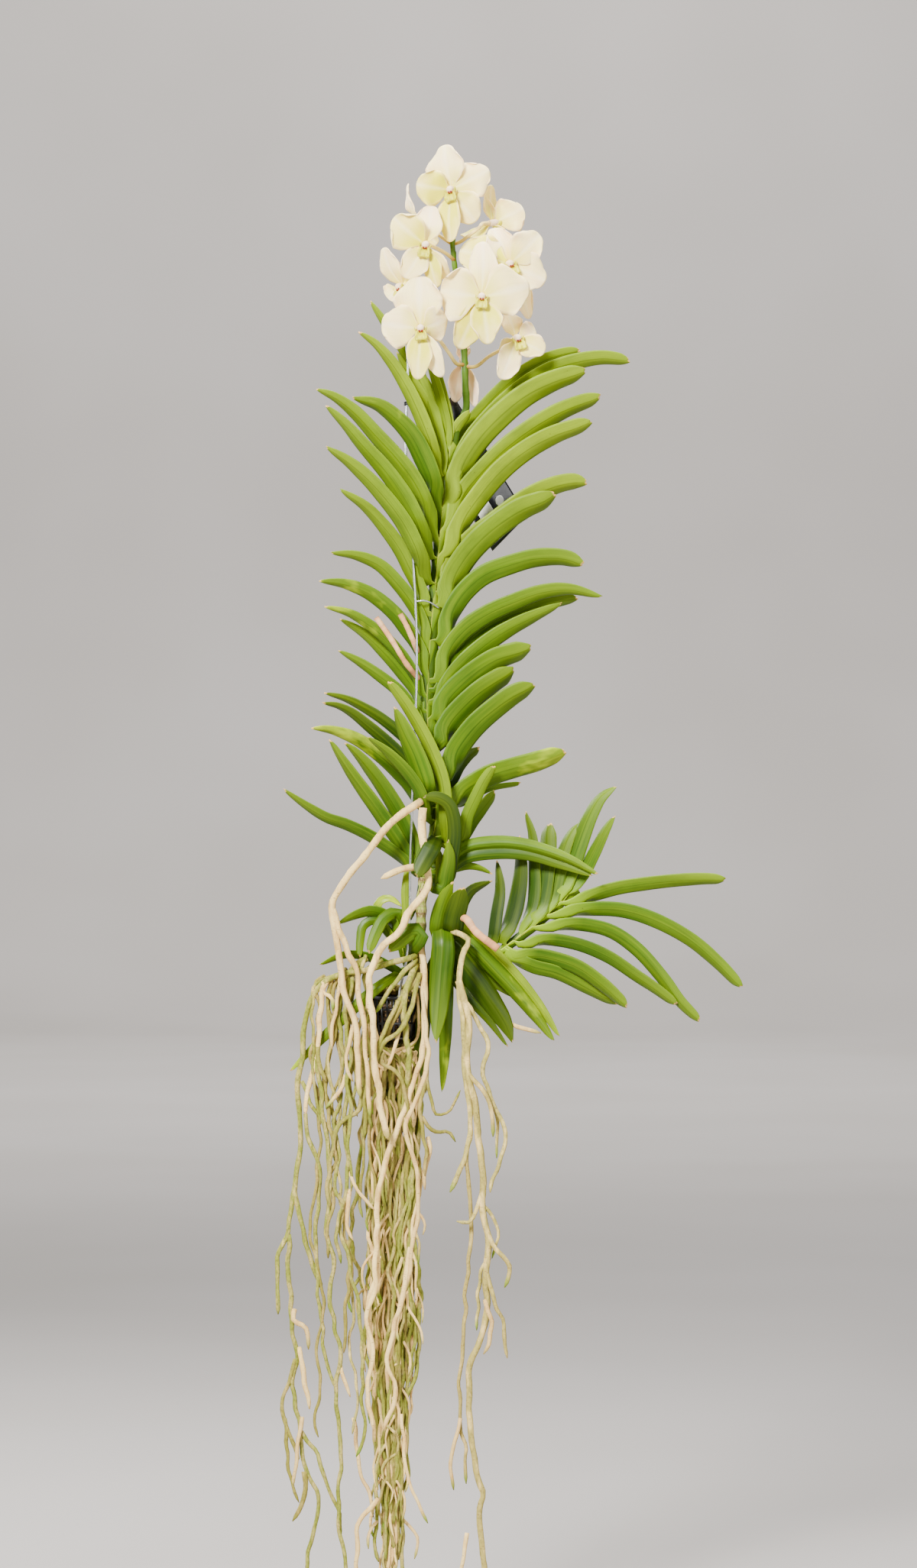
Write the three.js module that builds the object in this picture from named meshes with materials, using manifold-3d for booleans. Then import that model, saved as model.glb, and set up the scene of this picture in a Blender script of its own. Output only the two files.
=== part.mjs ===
// A vanda orchid hung on a wire hanger: a tall leafy stem with two side shoots, a flower stalk
// with ten blooms, long bare roots and the small slatted basket that the old stem stands in.
// Millimetres, +Z up, -Y to the front. The origin is where the hanger's hook bears on its rail.
import * as THREE from "three";
import Module from "manifold-3d";

const wasm = await Module();
wasm.setup();
const { Manifold, Mesh: SolidMesh } = wasm;

// ---- driving dimensions --------------------------------------------------------------------
const CLEAR = 0.35; // gap kept between two pieces that touch
const STEM_Y = 16; // the leafy stem stands this far behind the hanger wire
const STEM_WIDTH = 17; // across the fan of leaves, with the old sheaths round it
const STEM_DEPTH = 0.62; // a leafy stem's depth as a share of its width
const LEAF_THICK = 1.6;
const TEPAL_THICK = 1.1;
const WIRE_RADIUS = 1.2;
const HOOK_RADIUS = 9; // inside radius of the hanger's hook
const BASKET = { x: -20, y: 24.5, top: -724, height: 46, rim: 25, foot: 19, wall: 1.6, slots: 8 };
const CARD = { length: 150, width: 52, thick: 1.2, fold: 14 };
const ROOT_END = -1360; // the longest roots end here
const BUNDLE_ROOTS = 14;
const BUNDLE_STEP = 80; // length of one link of a bundle root
const CROWN = { radius: 24, top: BASKET.top + 13 };

const colours = {
  leaf: 0x8fa52b,
  youngLeaf: 0xa9c23a,
  deepLeaf: 0x4f6b2a,
  stalk: 0x5b7a1e,
  petal: 0xf7e3c2,
  lip: 0xdfd24a,
  root: 0xe6cba6,
  oldStem: 0x8f8261,
  straw: 0xd9b48a,
  wire: 0xb9bcbe,
  plastic: 0x17181a,
  label: 0xf2f0ee,
  bark: 0x5a4030,
};

// ---- solids from rings ---------------------------------------------------------------------
const vec = (x, y, z) => new THREE.Vector3(x, y, z);
const Y_AXIS = vec(0, 1, 0);
const radians = THREE.MathUtils.degToRad;
const mix = THREE.MathUtils.lerp;

function solidOf(points, triangles) {
  const vertProperties = new Float32Array(points.flatMap((p) => p.toArray()));
  const make = (list) =>
    new Manifold(new SolidMesh({ numProp: 3, vertProperties, triVerts: new Uint32Array(list) }));
  const solid = make(triangles);
  if (solid.volume() > 0) return solid;
  const turned = [];
  for (let i = 0; i < triangles.length; i += 3) {
    turned.push(triangles[i], triangles[i + 2], triangles[i + 1]);
  }
  return make(turned);
}

// Skins a row of rings that have the same number of points. The first `front` sides of a ring
// are split the other way from the rest, so both faces of a thin blade are split alike.
function loft(rings, front = 0) {
  const n = rings[0].length;
  const triangles = [];
  for (let j = 0; j < rings.length - 1; j++) {
    for (let i = 0; i < n; i++) {
      const a = j * n + i;
      const b = j * n + ((i + 1) % n);
      if (i < front) triangles.push(a, b, b + n, a, b + n, a + n);
      else triangles.push(a, b, a + n, b, b + n, a + n);
    }
  }
  const last = (rings.length - 1) * n;
  for (let low = 0, high = n - 1; high - low >= 2; low++, high--) {
    triangles.push(low, high, low + 1);
    triangles.push(last + low, last + low + 1, last + high);
    if (high - low >= 3) {
      triangles.push(low + 1, high, high - 1);
      triangles.push(last + low + 1, last + high - 1, last + high);
    }
  }
  return solidOf(rings.flat(), triangles);
}

// A tube through the points, with a radius at each: round, or pressed flat from front to back.
function tube(points, radii, sides, depth = 1) {
  const rings = [];
  let side = null;
  points.forEach((p, j) => {
    const before = points[Math.max(0, j - 1)];
    const after = points[Math.min(points.length - 1, j + 1)];
    const along = after.clone().sub(before).normalize();
    if (!side) side = Math.abs(along.x) < 0.9 ? vec(1, 0, 0) : vec(0, 0, 1);
    side = side.clone().addScaledVector(along, -side.dot(along)).normalize();
    const other = along.clone().cross(side);
    const ring = [];
    for (let i = 0; i < sides; i++) {
      const turn = (2 * Math.PI * i) / sides;
      const reach = radii[j];
      ring.push(
        p.clone()
          .addScaledVector(side, reach * Math.cos(turn))
          .addScaledVector(other, depth * reach * Math.sin(turn)),
      );
    }
    rings.push(ring);
  });
  return loft(rings);
}

const fuse = (solids) => Manifold.union(solids);

// The largest body of a solid: what a cut leaves loose is dropped.
function largest(solid) {
  const bodies = solid.decompose().sort((a, b) => b.volume() - a.volume());
  return bodies[0];
}

// Keeps a piece clear of its neighbours, each given grown by the clearance.
function clearOf(solid, neighbours) {
  return largest(neighbours.reduce((left, other) => left.subtract(other), solid));
}

// A row of [x, z] or [x, z, y] points as vectors. A missing y lies between its neighbours'.
function route(row, from = 0, to = from) {
  const known = row.map((p) => p[2]);
  if (known[0] === undefined) known[0] = from;
  if (known[row.length - 1] === undefined) known[row.length - 1] = to;
  return row.map((p, i) => {
    let low = i;
    let high = i;
    while (known[low] === undefined) low--;
    while (known[high] === undefined) high++;
    const y = low === high ? known[i] : mix(known[low], known[high], (i - low) / (high - low));
    return vec(p[0], y, p[1]);
  });
}

// ---- leaves --------------------------------------------------------------------------------
// A strap leaf is folded along its keel like a gutter: nearly shut at its base, where it clasps
// the stem, and almost flat near its tip, which ends in two lobes.
// where along its length a leaf has a ring, and its width there as a share of its own
const LONG_LEAF = [[0, 0.5], [0.2, 1.28], [0.5, 1.12], [0.8, 1], [1, 0.42]];
const SHORT_LEAF = [[0, 0.5], [0.28, 1.22], [0.7, 1.06], [1, 0.42]];
const SHORT_LENGTH = 142;
const CLASP = 0.22; // the share of a leaf's length over which its folded base opens

// row: centre line from the stem to the tip, depth of the tip, width seen from the front, options.
// The leaf starts on its stem's own centre line, and moves out to its own depth from there.
function leaf([path, tipY, width, options = {}], stem, grow = 0) {
  const { hand = 1, roll = [20, 58], fold = [58, 22], baseY = 0, notch = 3 } = options;
  const first = nearest(stem, vec(path[0][0], 0, path[0][1]));
  const points = route(path, 0, 0);
  if (Math.hypot(first.x - points[0].x, first.z - points[0].z) > STEM_WIDTH / 6) {
    points.unshift(vec(first.x, 0, first.z));
  }
  const curve = new THREE.CatmullRomCurve3(points, false, "centripetal");
  const half = width / 2 / 0.77;
  const stations = curve.getLength() < SHORT_LENGTH ? SHORT_LEAF : LONG_LEAF;
  const rings = stations.map(([s, share]) => {
    const opening = Math.min(1, s / CLASP);
    const rolled = radians(mix(roll[0], roll[1], opening));
    const folded = radians(mix(fold[0], fold[1], opening));
    const centre = curve.getPointAt(s);
    const along = curve.getTangentAt(s);
    centre.y = mix(first.y, STEM_Y + baseY, opening) + tipY * s ** 1.3;
    const inner = vec(-along.z, 0, along.x).multiplyScalar(hand).normalize();
    const reach = half * share + grow;
    const top = reach * Math.sin(folded + rolled);
    const bottom = Math.min(0, reach * Math.sin(folded - rolled));
    const keel = centre.addScaledVector(inner, -(top + bottom) / 2);
    const face = inner.clone().multiplyScalar(Math.cos(rolled))
      .addScaledVector(Y_AXIS, Math.sin(rolled));
    const side = inner.clone().multiplyScalar(-Math.sin(rolled))
      .addScaledVector(Y_AXIS, Math.cos(rolled));
    const thick = LEAF_THICK + 2 * grow;
    const lobe = s === 1 ? notch : 0;
    return bladeRing(keel.addScaledVector(face, -grow), side, face, {
      half: reach * Math.cos(folded),
      rise: reach * Math.sin(folded),
      thick,
      along,
      lobe,
    });
  });
  return loft(rings, 2);
}

// The point of a polyline that lies nearest to p, seen from the front.
function nearest(line, p) {
  let best = null;
  for (let i = 0; i < line.length - 1; i++) {
    const [a, b] = [line[i], line[i + 1]];
    const run = vec(b.x - a.x, 0, b.z - a.z);
    const share = vec(p.x - a.x, 0, p.z - a.z).dot(run) / run.lengthSq();
    const point = a.clone().lerp(b, THREE.MathUtils.clamp(share, 0, 1));
    const away = Math.hypot(point.x - p.x, point.z - p.z);
    if (!best || away < best.away) best = { point, away };
  }
  return best.point;
}

// Six points: the outer face's two margins and its keel, and the same on the inner face.
function bladeRing(keel, side, face, { half, rise, thick, along, lobe = 0 }) {
  const margin = (sign, depth) =>
    keel.clone()
      .addScaledVector(side, sign * half)
      .addScaledVector(face, rise + depth)
      .addScaledVector(along, lobe * (sign < 0 ? 1 : 0.6));
  const middle = (depth) => keel.clone().addScaledVector(face, depth);
  return [margin(-1, 0), middle(0), margin(1, 0), margin(1, thick), middle(thick), margin(-1, thick)];
}

// Four points: the two margins of a flat blade, on its outer face and then on its inner face.
function flatRing(middle, side, face, half, thick) {
  const corner = (sign, depth) =>
    middle.clone().addScaledVector(side, sign * half).addScaledVector(face, depth);
  return [corner(-1, 0), corner(1, 0), corner(1, thick), corner(-1, thick)];
}

const RIGHT = {};
const RIGHT_FAR = { baseY: 10 }; // stands behind its neighbours
const LEFT = { hand: -1, roll: [12, 54] };
const LEFT_NEAR = { ...LEFT, baseY: -27 }; // passes in front of the hanger wire
const LEFT_FAR = { ...LEFT, baseY: 10 };
const FACING = { roll: [88, 90], fold: [30, 20] };

const mainStem = [
  [42, -128], [40, -150], [36, -180], [32, -215], [29, -250], [25, -290], [21, -330], [18, -370],
  [16, -410], [17, -445], [21, -480], [26, -515], [25, -550], [17, -580], [12, -598],
];

const mainLeavesRight = [
  [[[41, -150], [45, -128], [60, -109]], -2, 10, RIGHT],
  [[[38, -180], [55, -130], [80, -98], [110, -70], [140, -52], [160, -45], [176, -42]],
    18, 14, RIGHT_FAR],
  [[[36, -192], [55, -147], [80, -115], [110, -87], [140, -67], [170, -56], [200, -51], [228, -54]],
    14, 17, RIGHT],
  [[[33, -208], [50, -168], [70, -137], [95, -111], [120, -91], [145, -78], [165, -71], [181, -67]],
    -6, 24, RIGHT],
  [[[32, -235], [50, -192], [70, -167], [95, -145], [120, -128], [150, -110], [175, -100], [197, -93]],
    -2, 18, RIGHT_FAR],
  [[[30, -262], [45, -222], [65, -192], [90, -166], [120, -146], [150, -132], [170, -125], [187, -120]],
    -8, 24, RIGHT],
  [[[27, -300], [45, -255], [70, -225], [95, -205], [120, -193], [150, -185], [170, -182], [183, -183]],
    0, 20, RIGHT_FAR],
  [[[27, -314], [38, -288], [52, -263], [68, -244], [90, -225], [115, -210], [135, -203], [149, -196]],
    -10, 26, RIGHT],
  [[[26, -350], [40, -320], [55, -298], [75, -281], [100, -271], [130, -263], [160, -263], [179, -270]],
    -4, 20, RIGHT],
  [[[22, -392], [35, -362], [55, -338], [80, -321], [105, -310], [135, -299], [165, -296], [198, -304]],
    -2, 18, RIGHT],
  [[[22, -402], [45, -370], [70, -344], [100, -325], [130, -313], [155, -307], [173, -304]],
    6, 15, RIGHT_FAR],
  [[[21, -414], [45, -383], [75, -355], [100, -338], [125, -325], [156, -311]], 2, 18, RIGHT],
  [[[20, -432], [42, -405], [65, -384], [88, -369], [108, -362], [124, -357]], -4, 24, RIGHT],
  [[[24, -455], [45, -428], [65, -408], [85, -393], [106, -380]], 2, 23, RIGHT],
  [[[34, -487], [48, -462], [65, -440], [85, -422], [105, -407], [127, -396]], -8, 23, RIGHT],
  [[[38, -502], [50, -482], [60, -470], [70, -463]], 12, 10, RIGHT_FAR],
  [[[40, -518], [58, -505], [80, -492], [105, -484], [130, -477], [160, -466]], 4, 22, RIGHT],
  [[[50, -560], [57, -535], [66, -515], [75, -497], [85, -482]], -14, 13, { roll: [60, 75] }],
  [[[50, -522], [80, -506], [113, -500]], 24, 6, RIGHT_FAR],
  [[[46, -562], [64, -538], [76, -522], [86, -509]], 4, 13, RIGHT_FAR],
];

const mainLeavesLeft = [
  [[[36, -185], [20, -110], [-5, -50], [-30, -15], [-44, 5]], -6, 15, LEFT],
  [[[32, -178], [18, -140], [5, -108], [-8, -82], [-22, -60], [-38, -42], [-55, -30]],
    -16, 14, { ...LEFT, baseY: -23 }],
  [[[36, -165], [28, -135], [15, -105], [2, -80], [-10, -60], [-16, -48]], -10, 12, { ...LEFT, baseY: 4 }],
  [[[38, -150], [29, -118], [20, -92], [13, -70]], 0, 12, LEFT_FAR],
  [[[40, -150], [35, -120], [27, -88], [20, -65], [15, -46]], -22, 10, LEFT],
  [[[43, -142], [38, -110], [32, -82], [25, -56], [21, -42]], -10, 9, LEFT],
  [[[31, -215], [20, -180], [10, -157], [0, -138], [-15, -121], [-35, -106], [-62, -99]],
    -18, 19, LEFT_NEAR],
  [[[28, -245], [17, -215], [3, -186], [-15, -162], [-37, -138], [-60, -113], [-80, -98], [-99, -90]],
    -19, 17, LEFT_NEAR],
  [[[24, -264], [8, -232], [-8, -202], [-28, -174], [-50, -149], [-70, -126], [-89, -108]],
    -20, 17, { ...LEFT_NEAR, baseY: -33 }],
  [[[21, -290], [8, -262], [-8, -230], [-28, -203], [-48, -181], [-68, -164], [-89, -151]],
    -20, 17, { ...LEFT_NEAR, baseY: -33 }],
  [[[18, -322], [12, -305], [0, -280], [-12, -256], [-30, -231], [-50, -210], [-75, -194]], -34, 15, LEFT],
  [[[18, -360], [12, -335], [0, -311], [-15, -291], [-35, -271], [-60, -261], [-85, -259]], -18, 14, LEFT],
  [[[17, -386], [8, -360], [-5, -340], [-20, -321], [-45, -301], [-70, -291], [-97, -288]], -16, 15, LEFT],
  [[[14, -410], [8, -396], [-8, -371], [-25, -351], [-45, -334], [-65, -322], [-91, -315]], -14, 12, LEFT],
  [[[13, -425], [5, -406], [-10, -385], [-30, -362], [-50, -343], [-76, -327]], 2, 13, LEFT_FAR],
  [[[15, -442], [2, -424], [-14, -404], [-35, -387], [-55, -373], [-77, -361]], -10, 12, LEFT],
  [[[12, -478], [-5, -456], [-30, -434], [-50, -421], [-70, -411], [-92, -405]], 6, 11, LEFT],
  [[[14, -497], [-5, -478], [-22, -461], [-45, -441], [-65, -425], [-80, -418], [-94, -416]], -6, 12, LEFT],
  [[[20, -520], [12, -495], [3, -470], [-6, -450], [-18, -421]], -10, 20, { ...LEFT, baseY: -29 }],
  [[[14, -525], [-8, -496], [-35, -470], [-60, -453], [-85, -444], [-105, -442]], -14, 15, LEFT],
  [[[18, -538], [8, -509], [-5, -489], [-25, -468], [-46, -452]], -14, 12, { ...LEFT, baseY: -26 }],
  [[[8, -588], [-5, -550], [-20, -521], [-40, -491], [-58, -469], [-70, -458]], -12, 17, LEFT],
  [[[6, -592], [-15, -560], [-35, -530], [-58, -498], [-76, -471], [-86, -455]], -20, 15, LEFT],
  [[[8, -592], [-25, -568], [-45, -555], [-70, -543], [-90, -536], [-110, -524], [-134, -507]],
    -24, 12, LEFT],
];

const mainLeavesFront = [
  [[[36, -566], [35, -540], [34, -515], [31, -495], [22, -470], [10, -445], [-5, -420], [-24, -394]],
    -16, 14, { hand: -1, roll: [60, 70], baseY: -16, fold: [50, 22] }],
  [[[34, -590], [40, -572], [44, -545], [43, -523], [30, -514], [11, -517]], -14, 12,
    { hand: -1, roll: [80, 70], baseY: -16, fold: [30, 20] }],
  [[[34, -592], [43, -578], [40, -564], [30, -565], [22, -570]], -12, 11,
    { hand: -1, roll: [80, 70], baseY: -20, fold: [30, 20] }],
  [[[26, -590], [32, -578], [30, -566]], 0, 9, { ...FACING, baseY: -14 }],
  [[[22, -588], [24, -564], [14, -562], [9, -578], [4, -596]], -14, 16, { ...FACING, baseY: -22 }],
  [[[24, -592], [55, -571], [80, -567], [105, -567], [135, -573], [165, -583], [193, -595]],
    -22, 19, { roll: [30, 58], baseY: -4 }],
  [[[24, -594], [58, -587], [70, -589], [83, -595]], 4, 8, RIGHT],
];

// ---- side shoots ---------------------------------------------------------------------------
const rightStem = [
  [4, -705, 4], [44, -700, 20], [76, -690, 14], [99, -672, 2], [128, -650, 0], [160, -622, 0],
  [174, -613, 0],
];
const rightLeaves = [
  [[[158, -626], [187, -618], [215, -610], [240, -606], [275, -602], [308, -600], [327, -601]],
    -14, 14, RIGHT],
  [[[142, -640], [160, -634], [185, -632], [218, -633], [250, -642], [290, -663], [320, -688],
    [344, -713]], -18, 15, RIGHT],
  [[[128, -652], [145, -649], [175, -648], [207, -655], [235, -674], [262, -704], [280, -728],
    [300, -748]], -24, 14, RIGHT],
  [[[110, -668], [139, -664], [173, -669], [205, -682], [235, -702], [256, -716], [276, -731]],
    -20, 13, RIGHT],
  [[[106, -678], [139, -682], [173, -693], [202, -713], [225, -734]], -10, 15, RIGHT],
  [[[104, -680], [125, -692], [151, -699], [184, -715], [215, -731]], 8, 14, RIGHT],
  [[[155, -626], [163, -600], [173, -570], [186, -536], [198, -516], [213, -504]], -6, 17, LEFT],
  [[[160, -620], [176, -600], [192, -570], [202, -550], [211, -535]], -20, 13, LEFT],
  [[[142, -640], [151, -605], [158, -575], [168, -552], [176, -542]], 4, 15, LEFT],
  [[[130, -650], [137, -615], [142, -575], [144, -543]], 10, 18, LEFT],
  [[[115, -660], [127, -625], [128, -585], [126, -555], [119, -531]], 16, 12, LEFT],
  [[[97, -668], [108, -630], [114, -590], [112, -556]], 8, 14, LEFT],
  [[[84, -680], [88, -640], [92, -612], [89, -582]], 12, 12, LEFT],
];

const lowerStem = [[17, -697, 6], [26, -680, 4], [33, -661, 2], [38, -643, 1]];
const lowerLeaves = [
  [[[31, -652], [32, -672], [30, -700], [28, -730], [24, -770]], -14, 25, { ...FACING, baseY: -20 }],
  [[[34, -690], [35, -740], [33, -790], [31, -824]], 0, 14, { ...FACING, baseY: 2 }],
  [[[18, -694], [14, -725], [10, -765], [5, -812]], 6, 13, { ...FACING, baseY: -6 }],
  [[[38, -659], [44, -638], [52, -622], [58, -612]], -24, 15, { ...FACING, baseY: -16 }],
  [[[36, -651], [38, -635], [40, -612]], -11, 13, { ...FACING, baseY: -11 }],
  [[[26, -664], [28, -632], [36, -614], [44, -602]], -16, 14, { ...FACING, baseY: -10 }],
  [[[38, -650], [62, -663], [90, -691], [115, -718], [135, -745], [150, -767]], -14, 25,
    { roll: [60, 80], baseY: -10 }],
  [[[34, -668], [62, -702], [82, -730], [97, -753], [105, -772]], 4, 22, { ...FACING, baseY: -4 }],
  [[[36, -700], [62, -730], [82, -752], [99, -776]], -8, 8, { ...FACING, baseY: -6 }],
  [[[34, -682], [80, -706], [108, -726]], 4, 12, { ...FACING, baseY: 0 }],
  [[[40, -650], [60, -614], [82, -603]], 16, 9, RIGHT],
];

const leftStem = [[0, -700, 8], [-8, -686, 2], [-12, -668, 0], [-12, -650, 0]];
const leftLeaves = [
  [[[-12, -660], [-24, -642], [-42, -634], [-60, -638], [-78, -647]], -16, 11, LEFT],
  [[[-16, -668], [-36, -640], [-36, -626], [-25, -621], [-12, -629]], -4, 9, LEFT],
  [[[-12, -652], [-16, -636], [-30, -642], [-38, -656], [-46, -677]], -22, 12, { ...FACING, baseY: -6 }],
  [[[-12, -672], [-40, -644], [-52, -650], [-55, -665], [-56, -682]], -10, 9, { ...FACING, baseY: 0 }],
  [[[-4, -676], [8, -657], [0, -655], [-12, -663], [-25, -675]], -8, 17, { ...FACING, baseY: -22 }],
  [[[-8, -700], [-32, -688], [-52, -681], [-72, -680], [-97, -690]], -14, 9, LEFT],
  [[[-6, -696], [-34, -712], [-62, -736], [-95, -768], [-128, -802]], 22, 11,
    { ...FACING, baseY: -30 }],
];

// ---- blooms --------------------------------------------------------------------------------
// centre (x, y, z), the way it faces, then five tepals as [tip x, tip z, depth of the tip beyond
// the centre, width, turn about its own length]. The first tepal of a row is the dorsal sepal.
const blooms = [
  { centre: [41, -2, 121], facing: [-0.3, -0.93, -0.1], tepals: [
    [33, 169, 8, 35, 0], [78, 148, 10, 37, 0], [69, 91, 2, 37, 0], [38, 66, -6, 22, 0],
    [3, 119, -12, 35, 0]] },
  { centre: [14, -24, 61], facing: [-0.1, -0.95, -0.2], tepals: [
    [22, 107, 12, 28, 0], [42, 38, 12, 19, 20], [25, 13, 4, 19, 0], [-7, 22, 0, 25, 0],
    [-19, 91, -4, 35, 0]] },
  { centre: [9, 30, 88], facing: [-0.6, 0.75, 0.2], tepals: [
    [-5, 133, 4, 22, 62], [24, 102, 14, 20, 0], [26, 70, 10, 20, 0], [2, 58, -2, 18, 0],
    [-14, 78, -4, 20, 0]] },
  { centre: [-10, -14, 18], facing: [-0.6, -0.7, -0.1], tepals: [
    [-28, 60, -4, 24, 0], [10, 46, 14, 18, 0], [8, 2, 6, 18, 0], [-4, -12, 0, 16, 0],
    [-25, -7, -4, 21, 0]] },
  { centre: [9, -40, -28], facing: [-0.05, -0.98, -0.1], tepals: [
    [7, 27, 10, 43, 0], [37, -18, 8, 38, 25], [31, -78, 4, 21, 10], [5, -81, -2, 25, 0],
    [-33, -24, 4, 41, 0]] },
  { centre: [72, -36, 5], facing: [0.02, -0.98, -0.05], tepals: [
    [73, 64, 12, 27, 0], [122, 15, 6, 46, 0], [80, -44, -2, 31, 0], [49, -47, 14, 26, 0],
    [28, 12, 12, 48, 0]] },
  { centre: [100, 2, 43], facing: [0.35, -0.9, 0.05], tepals: [
    [79, 84, 12, 31, 0], [132, 76, 6, 31, 0], [139, 25, 4, 38, 0], [122, -12, 10, 22, 0],
    [52, 52, 4, 29, 0]] },
  { centre: [83, 28, 90], facing: [0.75, 0.5, 0.1], tepals: [
    [83, 131, 6, 22, 60], [115, 107, -6, 35, 20], [97, 73, 2, 14, 0], [52, 79, -4, 18, 30],
    [76, 117, 2, 10, 40]] },
  { centre: [108, -6, -35], facing: [0.3, -0.92, -0.05], tepals: [
    [100, -4, 10, 22, 0], [128, -24, 8, 28, 0], [137, -51, 0, 24, 0], [92, -77, -2, 24, 0],
    [91, -46, 10, 15, 0]] },
  { centre: [52, 38, -54], facing: [0, 0.95, -0.2], tepals: [
    [52, -18, 2, 22, 0], [70, -34, 4, 22, 0], [64, -103, -8, 18, 20], [49, -101, -8, 18, -10],
    [34, -36, 4, 20, 0]] },
];

const TEPAL_STOPS = [0, 0.3, 0.72, 1];
const TEPAL_WIDTHS = [0, 0.84, 1.1, 0.52];
const COLUMN_BACK = 3; // the column starts this far behind the bloom's centre
const CLAW = 1.9; // half the width of a tepal where it leaves the column

function tepal(bloomCentre, facing, [tipX, tipZ, beyond, width, turn], forward, grow) {
  const tip = vec(tipX, bloomCentre.y + beyond, tipZ);
  const out = tip.clone().sub(bloomCentre).normalize();
  tip.addScaledVector(out, grow);
  const centre = bloomCentre.clone().addScaledVector(out, 3.2).addScaledVector(facing, forward);
  const along = tip.clone().sub(centre).normalize();
  const side = facing.clone().cross(along).normalize().applyAxisAngle(along, radians(turn));
  const face = along.clone().cross(side).normalize();
  const length = tip.distanceTo(centre);
  const rings = TEPAL_STOPS.map((s, j) => {
    const arch = 0.1 * length * Math.sin(Math.PI * s);
    const keel = centre.clone().lerp(tip, s).addScaledVector(face, arch - grow);
    const half = Math.max(CLAW, (width / 2) * TEPAL_WIDTHS[j]) + grow;
    return flatRing(keel, side, face, half, TEPAL_THICK + 2 * grow);
  });
  return loft(rings, 1);
}

function bloomFrame(row) {
  const centre = vec(...row.centre);
  const facing = vec(...row.facing).normalize();
  const dorsal = row.tepals[0];
  const up = vec(dorsal[0], centre.y + dorsal[2], dorsal[1]).sub(centre);
  up.addScaledVector(facing, -up.dot(facing)).normalize();
  return { centre, facing, up, side: up.clone().cross(facing) };
}

function bloom(row, grow = 0) {
  const { centre, facing, up } = bloomFrame(row);
  const at = (forward, rise) =>
    centre.clone().addScaledVector(facing, forward).addScaledVector(up, rise);
  const column = tube(
    [at(-COLUMN_BACK, 0), at(5, 0.5), at(10, -0.5)],
    [3.8, 4.4, 2].map((r) => r + grow),
    5,
  );
  // the two petals stand a little in front of the three sepals
  const tepals = row.tepals.map((t, i) => tepal(centre, facing, t, i === 1 || i === 4 ? 3 : 0, grow));
  return fuse([column, ...tepals]);
}

// The lip: a throat whose two sides stand up as side lobes, then a middle lobe that hangs down.
// Each section is [forward, drop, half width, rise of its sides, tilt of its inner face].
const LIP = [[6.5, -5.6, 5, 3, 0], [13, -9, 8, 4, 50], [14, -19, 4.5, 1, 85]];

function lip(row) {
  const { centre, facing, up, side } = bloomFrame(row);
  const rings = LIP.map(([forward, drop, half, rise, tilt]) => {
    const keel = centre.clone().addScaledVector(facing, forward).addScaledVector(up, drop);
    const face = up.clone().applyAxisAngle(side, radians(tilt));
    const along = face.clone().cross(side);
    return bladeRing(keel, side, face, { half, rise, thick: 1.8, along });
  });
  return loft(rings, 2);
}

const stalkPath = [
  [42, -136, 27], [50, -122, 28], [56, -105, 26], [55, -80, 20], [54, -50, 18], [50, -5, 18],
  [45, 35, 16], [42, 60, 14], [41, 85, 12], [40, 108, 10],
];
const pedicels = [
  { bloom: 0, from: [[40, 104, 10]] },
  { bloom: 1, from: [[43, 50, 14], [34, 56, 4]] },
  { bloom: 2, from: [[42, 66, 14], [30, 74, 14]] },
  { bloom: 3, from: [[48, 10, 18], [22, 17, 8]] },
  { bloom: 4, from: [[54, -60, 18], [46, -60, 8], [38, -50, -6], [24, -34, -22]] },
  { bloom: 5, from: [[53, -34, 18], [62, -21, 0], [68, -4, -24]] },
  { bloom: 6, from: [[47, 24, 16], [70, 34, 14]] },
  { bloom: 7, from: [[41, 66, 14], [50, 69, 14], [60, 76, 12], [70, 84, 14]] },
  { bloom: 8, from: [[55, -62, 18], [66, -62, 16], [80, -52, 10], [94, -44, 8]] },
  { bloom: 9, from: [[54, -50, 18], [53, -50, 26]] },
];

function flowerStalk(grow = 0) {
  const spine = eased(route(stalkPath), 2);
  const radii = spine.map((p, i) => mix(4, 2.6, i / (spine.length - 1)) + grow);
  const stems = pedicels.map(({ bloom: k, from }) => {
    const { centre, facing } = bloomFrame(blooms[k]);
    const back = (d) => centre.clone().addScaledVector(facing, -d);
    const points = [...route(from), back(12), back(COLUMN_BACK + CLEAR)];
    return tube(points, points.map((p, i) => (i === 0 ? 2.6 : 2) + grow), 3);
  });
  return fuse([tube(spine, radii, 5), ...stems]);
}

// ---- roots ---------------------------------------------------------------------------------
// radius, then the route as [x, z] or [x, z, y] from the stem to the tip
const leftFrontRoot = [
  [4.2, [[9, -519, -14], [-10, -531, -24], [-31, -552, -28], [-53, -580, -28], [-74, -606, -26],
    [-84, -629, -24], [-80, -657, -22], [-74, -694, -22], [-72, -714, -22], [-60, -746, -22],
    [-58, -767, -22], [-54, -828, -22]]],
  [3.4, [[-84, -629, -24], [-79, -645, -24], [-68, -674, -26], [-57, -700, -28], [-57, -714, -30],
    [-51, -746, -30], [-47, -808, -28], [-44, -848, -28]]],
];
const middleFrontRoot = [
  [4.4, [[11, -526, -18], [11, -550, -20], [16, -593, -20], [16, -610, -24], [-1, -631, -26],
    [-14, -655, -26], [-34, -674, -26], [-43, -696, -30], [-45, -720, -34], [-40, -746, -36],
    [-40, -779, -36], [-36, -808, -36], [-32, -844, -34], [-25, -871, -32]]],
];
const shortRoot = [[3.6, [[2, -588, 0], [-10, -590, -6], [-33, -600, -10]]]];

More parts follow.
